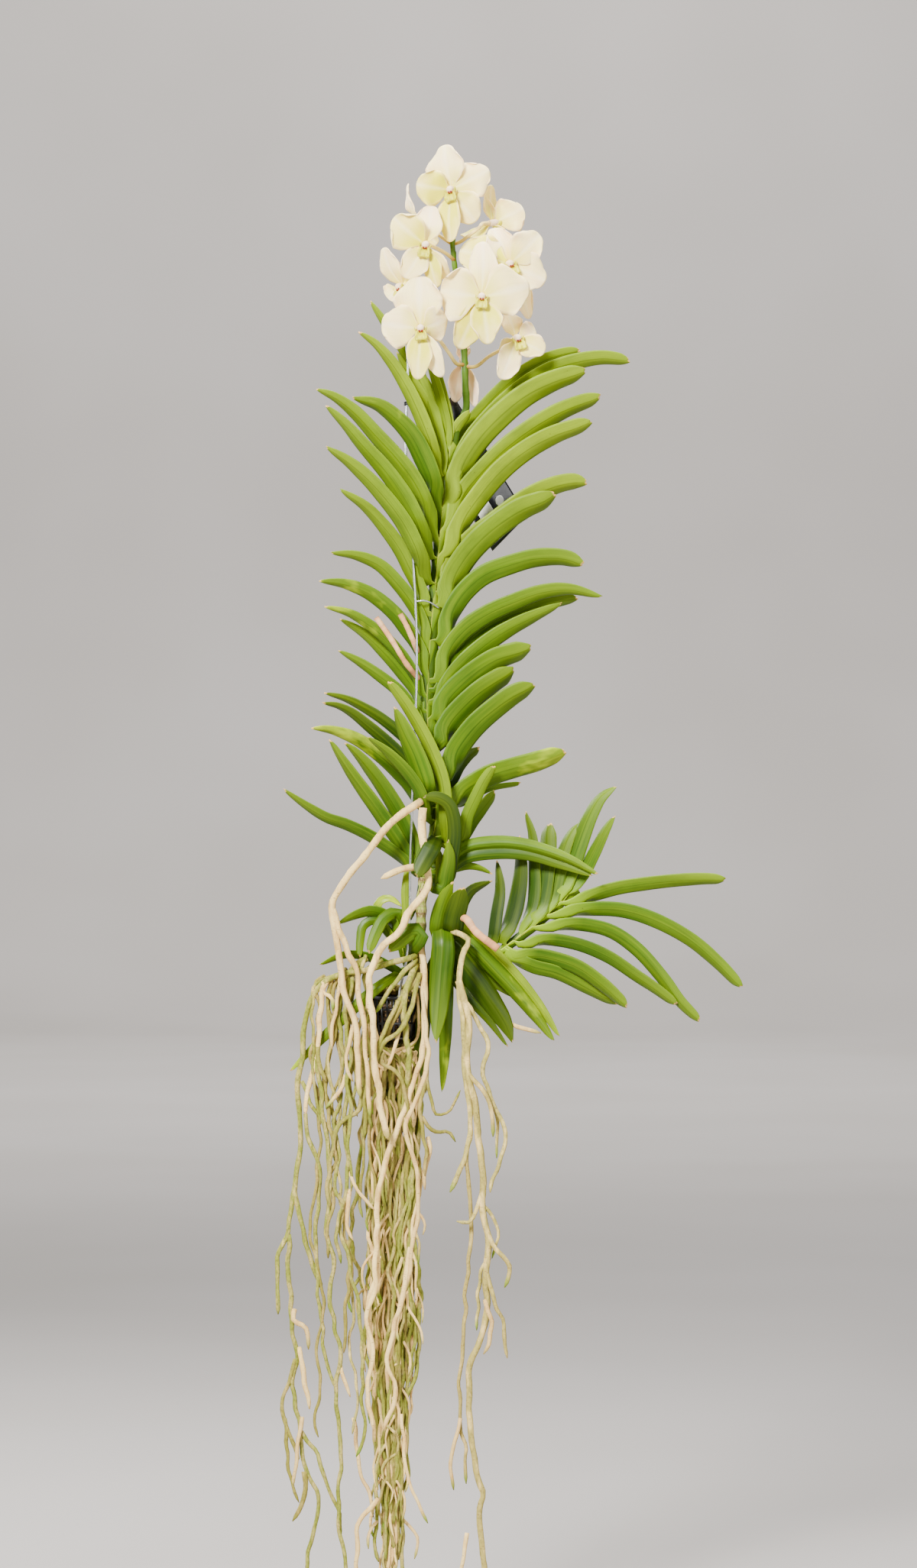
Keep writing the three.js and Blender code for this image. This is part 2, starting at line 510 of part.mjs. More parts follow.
const stemRoots = [
  [3.6, [[6, -662, 10], [12, -700, 2], [13, -746, 0], [11, -777, -4], [3, -808, -10],
    [-7, -838, -14], [-17, -863, -14], [-27, -889, -12], [-35, -926, -10], [-37, -975, -8],
    [-37, -1016, -6], [-46, -1045, -6], [-46, -1065, -6], [-43, -1104, -6]]],
  [2.6, [[4, -684, 12], [-4, -692, -4], [-13, -702, -8], [-29, -722, -10], [-38, -740, -10]]],
  [3.4, [[4, -690, 12], [-2, -700, -4], [-8, -726, -14], [-8, -755, -16], [-3, -787, -16],
    [-8, -820, -14]]],
  [2.6, [[2, -705, 10], [-12, -730, -16], [-28, -765, -18], [-38, -790, -18]]],
  [3, [[4, -680, 12], [-6, -684, -5], [-24, -688, -10], [-46, -695, -12], [-70, -699, -10],
    [-93, -708, -8], [-107, -728, -6], [-114, -757, -4], [-116, -787, -4], [-121, -818, -2],
    [-119, -848, 0], [-118, -879, 0], [-124, -926, 0], [-117, -959, 0], [-111, -984, 0],
    [-103, -1010, 0], [-95, -1031, 0]]],
  [2.4, [[-123, -922, 0], [-127, -939, 0], [-130, -973, 2], [-141, -996, 2], [-144, -1024, 2],
    [-141, -1057, 2]]],
  [2.4, [[-130, -973, 2], [-129, -1024, 4], [-127, -1065, 4], [-122, -1100, 4], [-125, -1128, 4],
    [-121, -1162, 4], [-116, -1193, 4], [-113, -1220, 4], [-101, -1240, 4], [-98, -1256, 4],
    [-103, -1281, 4], [-111, -1316, 4], [-112, ROOT_END, 4]]],
  [2.2, [[-123, -1104, 4], [-129, -1128, 2], [-136, -1142, 2], [-134, -1166, 2], [-127, -1187, 2],
    [-119, -1209, 2]]],
  [2.2, [[-117, -1180, 4], [-110, -1190, 4], [-101, -1203, 2], [-93, -1228, 0], [-84, -1250, 0],
    [-78, -1264, 0], [-75, -1290, 0]]],
  [2, [[-134, -1166, 2], [-131, -1209, 0], [-126, -1234, 0], [-119, -1254, 0]]],
  [2.8, [[-93, -708, -8], [-98, -757, -8], [-101, -787, -8], [-109, -820, -8], [-112, -848, -8]]],
  [2.6, [[-99, -775, -8], [-97, -790, -12], [-90, -812, -14]]],
  [2.4, [[-101, -787, -8], [-94, -840, -10], [-87, -892, -10], [-86, -926, -10], [-90, -963, -10],
    [-83, -994, -10], [-85, -1024, -10], [-84, -1055, -10], [-76, -1100, -10], [-80, -1132, -10],
    [-78, -1173, -10], [-75, -1213, -10], [-77, -1244, -10], [-78, -1275, -10], [-69, -1316, -10],
    [-68, ROOT_END, -10]]],
  [2.2, [[-112, -846, -8], [-108, -871, -6], [-101, -892, -4], [-96, -914, -4], [-99, -943, -4],
    [-101, -973, -4], [-100, -1004, -4], [-99, -1035, -4], [-95, -1071, -4], [-89, -1111, -4],
    [-80, -1134, -8]]],
  [2.4, [[10, -690, 8], [14, -800, -16], [-7, -861, -22], [1, -892, -22], [7, -933, -20], [2, -973, -18],
    [-3, -1014, -16], [-11, -1041, -14], [-17, -1065, -14], [-23, -1096, -12], [-27, -1111, -12],
    [-26, -1138, -12]]],
  [2.2, [[12, -806, -17], [9, -850, -20], [15, -885, -22], [13, -910, -22]]],
  [1.8, [[14, -806, -17], [28, -848, -12], [44, -836, -4], [50, -822, 2]]],
  [2, [[10, -848, -19], [22, -866, -14], [34, -862, -8], [45, -876, -2]]],
];

const rightRoots = [
  [3, [[39, -653, 11], [46, -657, -6], [59, -663, -16], [52, -681, -20], [48, -706, -20],
    [52, -746, -18], [54, -787, -16], [57, -818, -14], [60, -848, -12], [58, -879, -10],
    [52, -897, -10], [44, -916, -10], [39, -928, -10]]],
  [3, [[48, -706, -20], [58, -746, -20], [56, -797, -16], [67, -840, -14], [69, -869, -12],
    [73, -910, -10], [72, -945, -10], [78, -970, -10], [78, -994, -10], [77, -1024, -10],
    [77, -1055, -10], [71, -1083, -10], [60, -1109, -10], [59, -1132, -10], [60, -1162, -10],
    [63, -1193, -10], [67, -1224, -10], [73, -1244, -10], [69, -1260, -10], [71, -1285, -10],
    [75, -1322, -10], [76, ROOT_END, -10]]],
  [2.2, [[73, -925, -10], [67, -947, -12], [56, -960, -12], [46, -958, -12]]],
  [2.4, [[53, -725, -20], [62, -740, -16], [71, -757, -12], [79, -771, -12], [73, -797, -12],
    [79, -818, -12], [85, -838, -12], [95, -861, -12], [94, -885, -12], [85, -910, -12], [81, -928, -12]]],
  [2.4, [[56, -800, -16], [66, -812, -20], [75, -822, -20], [81, -844, -22], [84, -869, -22]]],
  [1.8, [[86, -841, -12], [90, -866, -4], [88, -893, -2]]],
  [2.2, [[57, -882, -10], [58, -922, -4], [60, -953, -2], [61, -984, 0], [57, -1014, 0], [55, -1055, 0],
    [53, -1090, 0], [50, -1122, -2], [49, -1162, -2], [55, -1199, -2], [56, -1234, -2]]],
  [2.6, [[77, -965, -10], [84, -982, -14], [93, -992, -16], [103, -1008, -16], [96, -1027, -16]]],
  [1.8, [[72, -940, -10], [84, -955, -4], [90, -972, -2], [83, -998, -2]]],
  [2, [[77, -1000, -10], [70, -1020, -6], [68, -1050, -4], [67, -1073, -4]]],
  [2.2, [[77, -1010, -10], [85, -1043, -14], [94, -1060, -14], [95, -1082, -14], [99, -1101, -14]]],
];

const sideRoot = [[2.2, [[84, -741, 24], [95, -748, 22], [112, -757, 20], [135, -763, 18]]]];

// A repeatable draw between 0 and 1, so every build is the same.
function seeded(seed) {
  let state = seed;
  return () => {
    state = (state * 1664525 + 1013904223) % 4294967296;
    return state / 4294967296;
  };
}

// The bundle under the basket: roots leave the crown on top of it, arch over its rim all round
// and hang down together. Each keeps to its own side of the bundle.
function bundleRoots() {
  const draw = seeded(11);
  const rows = [];
  for (let k = 0; k < BUNDLE_ROOTS; k++) {
    const turn = k * 2.39996;
    const ring = (radius, z) => [
      BASKET.x + radius * Math.cos(turn), z, BASKET.y + radius * Math.sin(turn)];
    const over = BASKET.rim + 5;
    const path = [
      ring(CROWN.radius - 6, CROWN.top - 5),
      ring(over - 2, BASKET.top + 4),
      ring(over + 1, BASKET.top - 18),
      ring(over - 1, BASKET.top - BASKET.height),
    ];
    const lane = 0.4 + 0.65 * draw();
    const end = mix(-900, ROOT_END, draw() ** 0.6);
    let across = turn;
    for (let z = BASKET.top - BASKET.height - BUNDLE_STEP; z > end; z -= BUNDLE_STEP) {
      const down = (BASKET.top - z) / (BASKET.top - ROOT_END);
      const spread = mix(30, 14, down) * lane;
      across += 0.9 * (draw() - 0.5);
      const x = -22 - 4 * down + spread * Math.cos(across) + 7 * (draw() - 0.5);
      path.push([x, z, 22 + 0.8 * spread * Math.sin(across)]);
    }
    rows.push([mix(1.8, 2.6, draw()), path]);
  }
  return rows;
}

// The crown: the knot of root bases that sits on top of the basket, round the old stem.
function crown(grow = 0) {
  const rings = [[0.8, 0], [1, 5], [0.5, 11]].map(([share, rise]) => {
    const ring = [];
    for (let k = 0; k < 10; k++) {
      const turn = (2 * Math.PI * k) / 10;
      const reach = CROWN.radius * share * (1 + 0.06 * Math.sin(3.7 * k)) + grow;
      ring.push(vec(BASKET.x + reach * Math.cos(turn), BASKET.y + reach * Math.sin(turn),
        CROWN.top - 12 + rise + grow * Math.sign(rise - 4)));
    }
    return ring;
  });
  return loft(rings);
}

// Leaves out the points of a route that lie within `slack` of the line between their neighbours.
function eased(points, slack) {
  const kept = [points[0]];
  for (let i = 1; i < points.length - 1; i++) {
    const line = new THREE.Line3(kept[kept.length - 1], points[i + 1]);
    const away = line.closestPointToPoint(points[i], true, vec()).distanceTo(points[i]);
    if (away > slack) kept.push(points[i]);
  }
  kept.push(points[points.length - 1]);
  return kept;
}

function roots(rows, sides = 4, grow = 0) {
  const tubes = rows.map(([radius, path]) => {
    const points = eased(route(path), 2.6);
    const taper = points.map((p, i) => radius * (i === points.length - 1 ? 0.45 : 1.08) + grow);
    return tube(points, taper, radius > 3.1 ? sides : 3);
  });
  return fuse(tubes);
}

// ---- shoots --------------------------------------------------------------------------------
function shoot(stemPath, radius, leafRows, grow = 0) {
  const points = route(stemPath).map((p) => p.add(vec(0, STEM_Y, 0)));
  const line = eased(points, 2.5);
  const stem = tube(line, line.map(() => radius + grow), 6, STEM_DEPTH);
  return fuse([stem, ...leafRows.map((row) => leaf(row, points, grow))]);
}

// ---- hanger, basket and card ---------------------------------------------------------------
function fromGeometry(geometry) {
  const plain = geometry.index ? geometry.toNonIndexed() : geometry;
  const position = plain.getAttribute("position");
  const points = [];
  const triangles = [];
  const seen = new Map();
  for (let i = 0; i < position.count; i++) {
    const p = vec().fromBufferAttribute(position, i);
    const key = p.toArray().map((c) => Math.round(c * 1e4)).join();
    if (!seen.has(key)) {
      seen.set(key, points.length);
      points.push(p);
    }
    triangles.push(seen.get(key));
  }
  const kept = [];
  for (let i = 0; i < triangles.length; i += 3) {
    const [a, b, c] = triangles.slice(i, i + 3);
    if (a !== b && b !== c && a !== c) kept.push(a, b, c);
  }
  return solidOf(points, kept);
}

const wirePath = [
  [-5, -60, 0], [-6, -103, 0], [-7, -135, 0], [-6, -200, 0], [0, -259, 0], [4, -340, 0], [4, -400, 0],
  [2, -451, 0], [0, -507, 0], [-2.5, -582, 0], [-3.6, -646, 0], [-7, -689, 0], [-11, -706, -1],
];

const HOOK_END = vec(-6.4, 0, -45); // the hook and the long wire meet here

// The open hook at the wire's upper end, with the start of its shank.
function hangerHook(grow = 0) {
  const bend = HOOK_RADIUS + WIRE_RADIUS;
  const hook = [];
  for (let turn = 200; turn >= 0; turn -= 25) {
    const x = bend * Math.cos(radians(180 - turn));
    hook.push(vec(-x, 0, -HOOK_RADIUS + bend * Math.sin(radians(turn))));
  }
  const points = [...hook.reverse(), HOOK_END];
  return tube(points, points.map(() => WIRE_RADIUS + grow), 6);
}

// The wire runs from the hook down to the basket, passes in front of its rim, turns in through
// a slot and ends behind the rim.
function hangerWire(grow = 0) {
  const frontX = -14;
  const front = BASKET.y - Math.sqrt(BASKET.rim ** 2 - (frontX - BASKET.x) ** 2);
  const lower = [
    vec(frontX, front - 2, BASKET.top + 2),
    vec(frontX, front - 2, BASKET.top - 6),
    vec(frontX, front + 1, BASKET.top - 9),
    vec(frontX, front + 4.4, BASKET.top - 8),
    vec(frontX, front + 4.8, BASKET.top - 3),
  ];
  const top = HOOK_END.clone().add(vec(0, 0, -CLEAR));
  const points = [top, ...route(wirePath), ...lower];
  return tube(points, points.map(() => WIRE_RADIUS + grow), 6);
}

function stemRing(grow = 0) {
  const points = route([[4.2, -309.5, -0.6], [12, -309, -1], [19, -311, 2], [27, -316, 8]]);
  return tube(points, points.map(() => 0.9 + grow), 5);
}

function tie(grow = 0) {
  const points = route([[-3.8, -103, -2], [2, -102.5, 3], [10, -102, 12], [20, -104, 26], [26, -106, 33]]);
  return tube(points, points.map(() => 0.9 + grow), 4);
}

function knot() {
  const around = [];
  for (let k = 0; k <= 7; k++) {
    const turn = radians(-20 + 46 * k);
    around.push(vec(-6.1 + 2.6 * Math.cos(turn), 2.6 * Math.sin(turn), -103));
  }
  return tube(around, around.map(() => 0.9), 4);
}

// A stiff card folded along its length, hung behind the leaves by its upper end.
const CARD_TOP = vec(24, 37, -108);
const CARD_ALONG = vec(79, 4, -129).normalize();
const CARD_ACROSS = vec(-36, 0, -37).normalize();

function card(grow = 0) {
  const face = CARD_ALONG.clone().cross(CARD_ACROSS).normalize();
  if (face.y > 0) face.negate();
  const rings = [-grow, CARD.length + grow].map((d) =>
    bladeRing(CARD_TOP.clone().addScaledVector(CARD_ALONG, d), CARD_ACROSS, face.clone().negate(), {
      half: CARD.width / 2 + grow,
      rise: CARD.fold / 2,
      thick: CARD.thick + 2 * grow,
      along: CARD_ALONG,
    }));
  return loft(rings, 2);
}

// outline: [distance down the card, distance across it], all on one side of the card's fold
function sticker(outline) {
  const face = CARD_ALONG.clone().cross(CARD_ACROSS).normalize();
  if (face.y > 0) face.negate();
  const slope = CARD.fold / CARD.width;
  const corner = (d, a) =>
    CARD_TOP.clone()
      .addScaledVector(CARD_ALONG, d)
      .addScaledVector(CARD_ACROSS, a)
      .addScaledVector(face, 0.35 - slope * Math.abs(a));
  const under = outline.map(([d, a]) => corner(d, a));
  return loft([under, under.map((p) => p.clone().addScaledVector(face, 0.4))]);
}

const roundOutline = [0, 1, 2, 3, 4, 5, 6, 7].map((k) => {
  const turn = (k * Math.PI) / 4;
  return [117 + 5 * Math.cos(turn), -9 + 5 * Math.sin(turn)];
});

function basket() {
  const { x, y, top, height, rim, foot, wall, slots } = BASKET;
  const foot2 = -height + wall;
  const profile = [
    [7, -height], [foot, -height], [rim - 1.2, -4], [rim, -4], [rim, 0], [rim - 2.6, 0],
    [rim - 2.6, -4], [foot - wall, foot2], [7, foot2], [7, -height],
  ].map(([r, z]) => new THREE.Vector2(r, z));
  const cup = new THREE.LatheGeometry(profile, 16);
  cup.rotateX(Math.PI / 2);
  cup.translate(x, y, top);
  let solid = fromGeometry(cup);
  const facing = Math.atan2(-Math.sqrt(rim ** 2 - 36), 6);
  for (let k = 0; k < slots; k++) {
    const slot = new THREE.BoxGeometry(14, 5.4, height - 15);
    slot.translate(rim - 3, 0, -height / 2 - 1.5);
    slot.rotateZ(facing + (2 * Math.PI * k) / slots);
    slot.translate(x, y, top);
    solid = solid.subtract(fromGeometry(slot));
  }
  return solid;
}

function barkPlug() {
  const { x, y, top, height, rim, foot, wall } = BASKET;
  const lump = (k) => 0.8 * Math.sin(2.3 * k) + 0.6 * Math.cos(5.1 * k);
  const levels = [[foot - wall - 1.2, -height + wall + 0.3], [rim - 5.5, -16], [rim - 8.5, -11.5]];
  const rings = levels.map(([radius, z]) => {
    const ring = [];
    for (let k = 0; k < 16; k++) {
      const turn = (2 * Math.PI * k) / 16;
      const reach = radius - 0.8 + 0.5 * lump(k);
      ring.push(vec(x + reach * Math.cos(turn), y + reach * Math.sin(turn), top + z));
    }
    return ring;
  });
  return loft(rings);
}

// ---- the assembled orchid ------------------------------------------------------------------
const oldStemPath = [
  [11.6, -598.8, STEM_Y], [9, -630, STEM_Y], [8, -665, STEM_Y], [6, -695, STEM_Y + 1],
  [-2, -716, STEM_Y + 4], [-12, -727, STEM_Y + 7], [-15, -733, BASKET.y],
];

const dryStalks = [
  [2.8, [[-38, -327, -12], [-22, -350, -9], [-6, -376, -2], [7, -391, 12]]],
  [2.8, [[-13, -323, -5], [-6, -336, -3], [1, -352, 2], [5, -362, 12]]],
];
const cutStalk = [[4, [[42, -641, 11], [56, -642, -14], [66, -655, -20], [89, -673, -24]]]];

function oldStemAndRoots(grow = 0) {
  const radii = [5, 4.6, 4.8, 5, 5, 5, 4.5].map((r) => r + grow);
  const stem = tube(route(oldStemPath), radii, 6);
  return fuse([stem, crown(grow), roots(stemRoots, 4, grow), roots(bundleRoots(), 3, grow)]);
}

const mainShoot = (grow = 0) =>
  shoot(mainStem, STEM_WIDTH / 2, [...mainLeavesRight, ...mainLeavesLeft, ...mainLeavesFront], grow);
const lowerShoot = (grow = 0) => shoot(lowerStem, 5.4, lowerLeaves, grow);

// The room each piece needs round itself; what meets it is cut back to leave that room.
const room = {
  wire: fuse([hangerWire(CLEAR), hangerHook(CLEAR)]),
  ring: stemRing(CLEAR),
  tie: tie(CLEAR),
  card: card(CLEAR),
  stalk: flowerStalk(CLEAR),
  leftRoot: roots(leftFrontRoot, 4, CLEAR),
  middleRoot: roots(middleFrontRoot, 4, CLEAR),
  shortRoot: roots(shortRoot, 4, CLEAR),
  dryStalks: roots(dryStalks, 4, CLEAR),
  cutStalk: roots(cutStalk, 4, CLEAR),
  rightRoots: roots(rightRoots, 4, CLEAR),
  oldStem: oldStemAndRoots(CLEAR),
  mainShoot: mainShoot(CLEAR),
  lowerShoot: lowerShoot(CLEAR),
  blooms: blooms.map((row) => bloom(row, CLEAR)),
};
const frontPieces = [room.leftRoot, room.middleRoot, room.shortRoot, room.dryStalks, room.cutStalk];
const hanger = [room.wire, room.ring, room.tie, room.card];

const solids = {
  hanger_hook: [hangerHook(), colours.wire, 0.35, 1],
  hanger_wire: [hangerWire(), colours.wire, 0.35, 1],
  stem_ring: [stemRing(), colours.wire, 0.35, 1],
  card_tie: [fuse([tie(), knot()]), colours.plastic, 0.6, 0],
  label_card: [card(), colours.plastic, 0.3, 0],
  label_sticker: [sticker([[102, 2], [123, 2], [123, 19], [102, 19]]), colours.label, 0.7, 0],
  round_sticker: [sticker(roundOutline), colours.label, 0.7, 0],
  basket: [clearOf(basket(), [room.wire, room.oldStem]), colours.plastic, 0.5, 0],
  bark_plug: [barkPlug(), colours.bark, 0.95, 0],
  flower_stalk: [clearOf(flowerStalk(), room.blooms), colours.stalk, 0.5, 0],
  main_shoot: [clearOf(mainShoot(), [...hanger, room.stalk, ...frontPieces]), colours.leaf, 0.5, 0],
  right_shoot: [clearOf(shoot(rightStem, 5, rightLeaves), [room.oldStem, room.lowerShoot,
    room.mainShoot, room.cutStalk]), colours.youngLeaf, 0.5, 0],
  lower_shoot: [clearOf(lowerShoot(), [room.oldStem, room.mainShoot, room.wire, room.rightRoots,
    ...frontPieces]), colours.deepLeaf, 0.5, 0],
  left_shoot: [clearOf(shoot(leftStem, 4, leftLeaves), [room.oldStem, room.wire, room.mainShoot,
    ...frontPieces]), colours.deepLeaf, 0.5, 0],
  old_stem_roots: [clearOf(oldStemAndRoots(), [room.wire, ...frontPieces]), colours.oldStem, 0.9, 0],
  front_root_left: [roots(leftFrontRoot), colours.root, 0.9, 0],
  front_root_middle: [roots(middleFrontRoot), colours.root, 0.9, 0],
  short_root: [clearOf(roots(shortRoot), [room.wire]), colours.root, 0.9, 0],
  right_roots: [roots(rightRoots), colours.root, 0.9, 0],
  side_root: [clearOf(roots(sideRoot), [room.lowerShoot]), colours.root, 0.9, 0],
  dry_stalk_upper: [roots([dryStalks[1]]), colours.straw, 0.9, 0],
  dry_stalk_lower: [roots([dryStalks[0]]), colours.straw, 0.9, 0],
  cut_stalk: [roots(cutStalk), colours.straw, 0.9, 0],
};
blooms.forEach((row, k) => {
  const nearer = room.blooms.slice(0, k);
  solids[`bloom_${k + 1}`] = [clearOf(bloom(row), [...nearer, room.wire]), colours.petal, 0.45, 0];
  solids[`lip_${k + 1}`] = [clearOf(lip(row), room.blooms), colours.lip, 0.45, 0];
});

const group = new THREE.Group();
for (const [name, [solid, colour, roughness, metalness]] of Object.entries(solids)) {
  const mesh = solid.getMesh();
  const geometry = new THREE.BufferGeometry();
  geometry.setAttribute("position", new THREE.BufferAttribute(mesh.vertProperties, mesh.numProp));
  geometry.setIndex(new THREE.BufferAttribute(mesh.triVerts, 1));
  const material = new THREE.MeshStandardMaterial({ color: colour, roughness, metalness });
  const part = new THREE.Mesh(geometry, material);
  part.name = name;
  group.add(part);
}

export default group;
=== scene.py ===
import math
from random import Random

import bmesh
import bpy
from bpy.props import FloatProperty, FloatVectorProperty, IntProperty, PointerProperty
from mathutils import Matrix, Vector, noise


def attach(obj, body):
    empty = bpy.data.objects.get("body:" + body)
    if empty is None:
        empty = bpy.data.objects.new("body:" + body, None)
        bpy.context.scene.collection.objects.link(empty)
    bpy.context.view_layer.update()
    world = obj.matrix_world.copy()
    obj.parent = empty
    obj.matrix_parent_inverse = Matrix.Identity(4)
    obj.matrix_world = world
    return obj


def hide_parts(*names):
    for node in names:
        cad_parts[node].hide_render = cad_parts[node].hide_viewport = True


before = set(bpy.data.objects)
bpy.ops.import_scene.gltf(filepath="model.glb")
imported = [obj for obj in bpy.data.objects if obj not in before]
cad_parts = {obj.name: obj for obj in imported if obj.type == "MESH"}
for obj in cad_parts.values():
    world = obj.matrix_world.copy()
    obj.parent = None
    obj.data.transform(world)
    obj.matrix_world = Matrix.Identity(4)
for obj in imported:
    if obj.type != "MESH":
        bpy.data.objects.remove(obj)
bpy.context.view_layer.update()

bl_info = {
    "name": "Hanging vanda orchid",
    "version": (1, 0, 0),
    "blender": (4, 5, 0),
    "location": "View3D > Sidebar > Orchid",
    "description": "A strap-leaved orchid on its wire hanger, with blooms, aerial roots and "
                   "a net basket",
    "category": "Add Mesh",
}

MM = 0.001


def srgb(code):
    """Linear red, green and blue of an sRGB hex colour."""
    parts = [int(code[i:i + 2], 16) / 255 for i in (1, 3, 5)]
    return tuple(c / 12.92 if c <= 0.04045 else ((c + 0.055) / 1.055) ** 2.4 for c in parts)


def mix(a, b, share):
    """The value a share of the way from a to b."""
    return a + (b - a) * share


def clamp(value, low=0.0, high=1.0):
    """value, kept between low and high."""
    return max(low, min(high, value))


def smooth(value):
    """An ease in and out between 0 and 1."""
    value = clamp(value)
    return value * value * (3 - 2 * value)


def along_table(table, s):
    """Reads a table of [place, value] rows at s, easing from row to row."""
    for (a, low), (b, high) in zip(table, table[1:]):
        if s <= b:
            return mix(low, high, clamp((s - a) / (b - a)))
    return table[-1][1]


# ---- where everything grows, in millimetres ---------------------------------------------
# +Z is up and -Y is the front. A row of points is [x, z] or [x, z, y]. A missing y lies
# between its neighbours'. At a row's start it is 0, and at its end it stays as it was.
STEM_Y = 16  # the leafy stem stands this far behind the hanger's wire
STEM_RADIUS = 8.5
ROOT_END = -1359.5
BASKET = {"x": -20, "y": 24.5, "top": -724, "height": 46, "rim": 25, "foot": 19, "ribs": 20}
HOOK_RADIUS = 9

# A leaf's row: its centre line from the stem to the tip, how far back the tip lies, its width
# seen from the front, and its form: the side it grows to, its roll and its fold in degrees at
# the base, in the open blade and at the tip, its own depth behind the stem, whether it is
# pointed, its tone from 0 for light to 1 for deep, and its age from 0 to 1.
ROLL, FOLD = [20, 66, 54], [58, 8, 22]
RIGHT = {}
RIGHT_FAR = {"base_y": 10}
LEFT = {"hand": -1, "roll": [12, 62, 48], "pointed": True}
LEFT_NEAR = dict(LEFT, base_y=-27)
LEFT_FAR = dict(LEFT, base_y=10)
FACING = {"roll": [88, 90, 90], "fold": [30, 22, 14]}

MAIN_STEM = [
  [42, -128], [40, -150], [36, -180], [32, -215], [29, -250], [25, -290], [21, -330], [18, -370],
  [16, -410], [17, -445], [21, -480], [26, -515], [25, -550], [17, -580], [12, -598],
]

MAIN_LEAVES_RIGHT = [
  [[[41, -150], [45, -128], [60, -109]], -2, 10, RIGHT],
  [[[38, -180], [55, -130], [80, -98], [110, -70], [140, -52], [160, -45], [176, -42]],
    18, 14, RIGHT_FAR],
  [[[36, -192], [55, -147], [80, -115], [110, -87], [140, -67], [170, -56], [200, -51],
    [228, -54]], 14, 17, RIGHT],
  [[[33, -208], [50, -168], [70, -137], [95, -111], [120, -91], [145, -78], [165, -71],
    [181, -67]], -6, 24, RIGHT],
  [[[32, -235], [50, -199], [70, -175], [96, -149], [120, -130], [150, -111], [175, -100],
    [197, -93]], 2, 20, dict(base_y=2, tone=0.0)],
  [[[30, -262], [47, -231], [66, -203], [93, -171], [122, -148], [150, -133], [170, -126],
    [187, -120]], -8, 21, dict(tone=0.05)],
  [[[27, -300], [45, -262], [66, -240], [84, -227], [120, -200], [150, -186], [170, -182],
    [183, -183]], 2, 21, dict(base_y=4, tone=0.0)],
  [[[27, -314], [39, -289], [53, -265], [69, -246], [91, -227], [115, -211], [135, -203],
    [149, -196]], -10, 25, dict(tone=0.25)],
  [[[26, -350], [40, -320], [55, -298], [75, -281], [100, -271], [130, -263], [160, -263],
    [179, -270]], -4, 20, RIGHT],
  [[[22, -392], [35, -362], [55, -338], [80, -321], [105, -310], [135, -299], [165, -296],
    [198, -304]], -2, 18, dict(pointed=True, tone=0.3)],
  [[[22, -402], [45, -370], [70, -344], [100, -325], [130, -313], [155, -307], [173, -304]],
    6, 15, dict(RIGHT_FAR, tone=0.75)],
  [[[21, -414], [45, -383], [75, -355], [100, -338], [125, -325], [156, -311]], 2, 18,
    dict(pointed=True, tone=0.45)],
  [[[20, -432], [42, -405], [65, -384], [88, -369], [108, -362], [124, -357]], -4, 24, RIGHT],
  [[[24, -455], [45, -428], [65, -408], [85, -393], [106, -380]], 2, 23, RIGHT],
  [[[34, -487], [48, -462], [65, -440], [85, -422], [105, -407], [127, -396]], -8, 23, RIGHT],
  [[[38, -502], [50, -482], [60, -470], [70, -463]], 12, 10, dict(RIGHT_FAR, tone=0.95)],
  [[[40, -518], [58, -505], [80, -492], [105, -484], [130, -477], [160, -466]], 4, 22,
    dict(age=0.36, tone=0.3)],
  [[[50, -560], [57, -535], [66, -515], [75, -497], [85, -482]], -14, 13,
    dict(tone=0.35, roll=[60, 80, 85])],
  [[[50, -522], [80, -506], [113, -500]], 24, 6, RIGHT_FAR],
  [[[46, -562], [64, -538], [76, -522], [86, -509]], 4, 13, RIGHT_FAR],
]

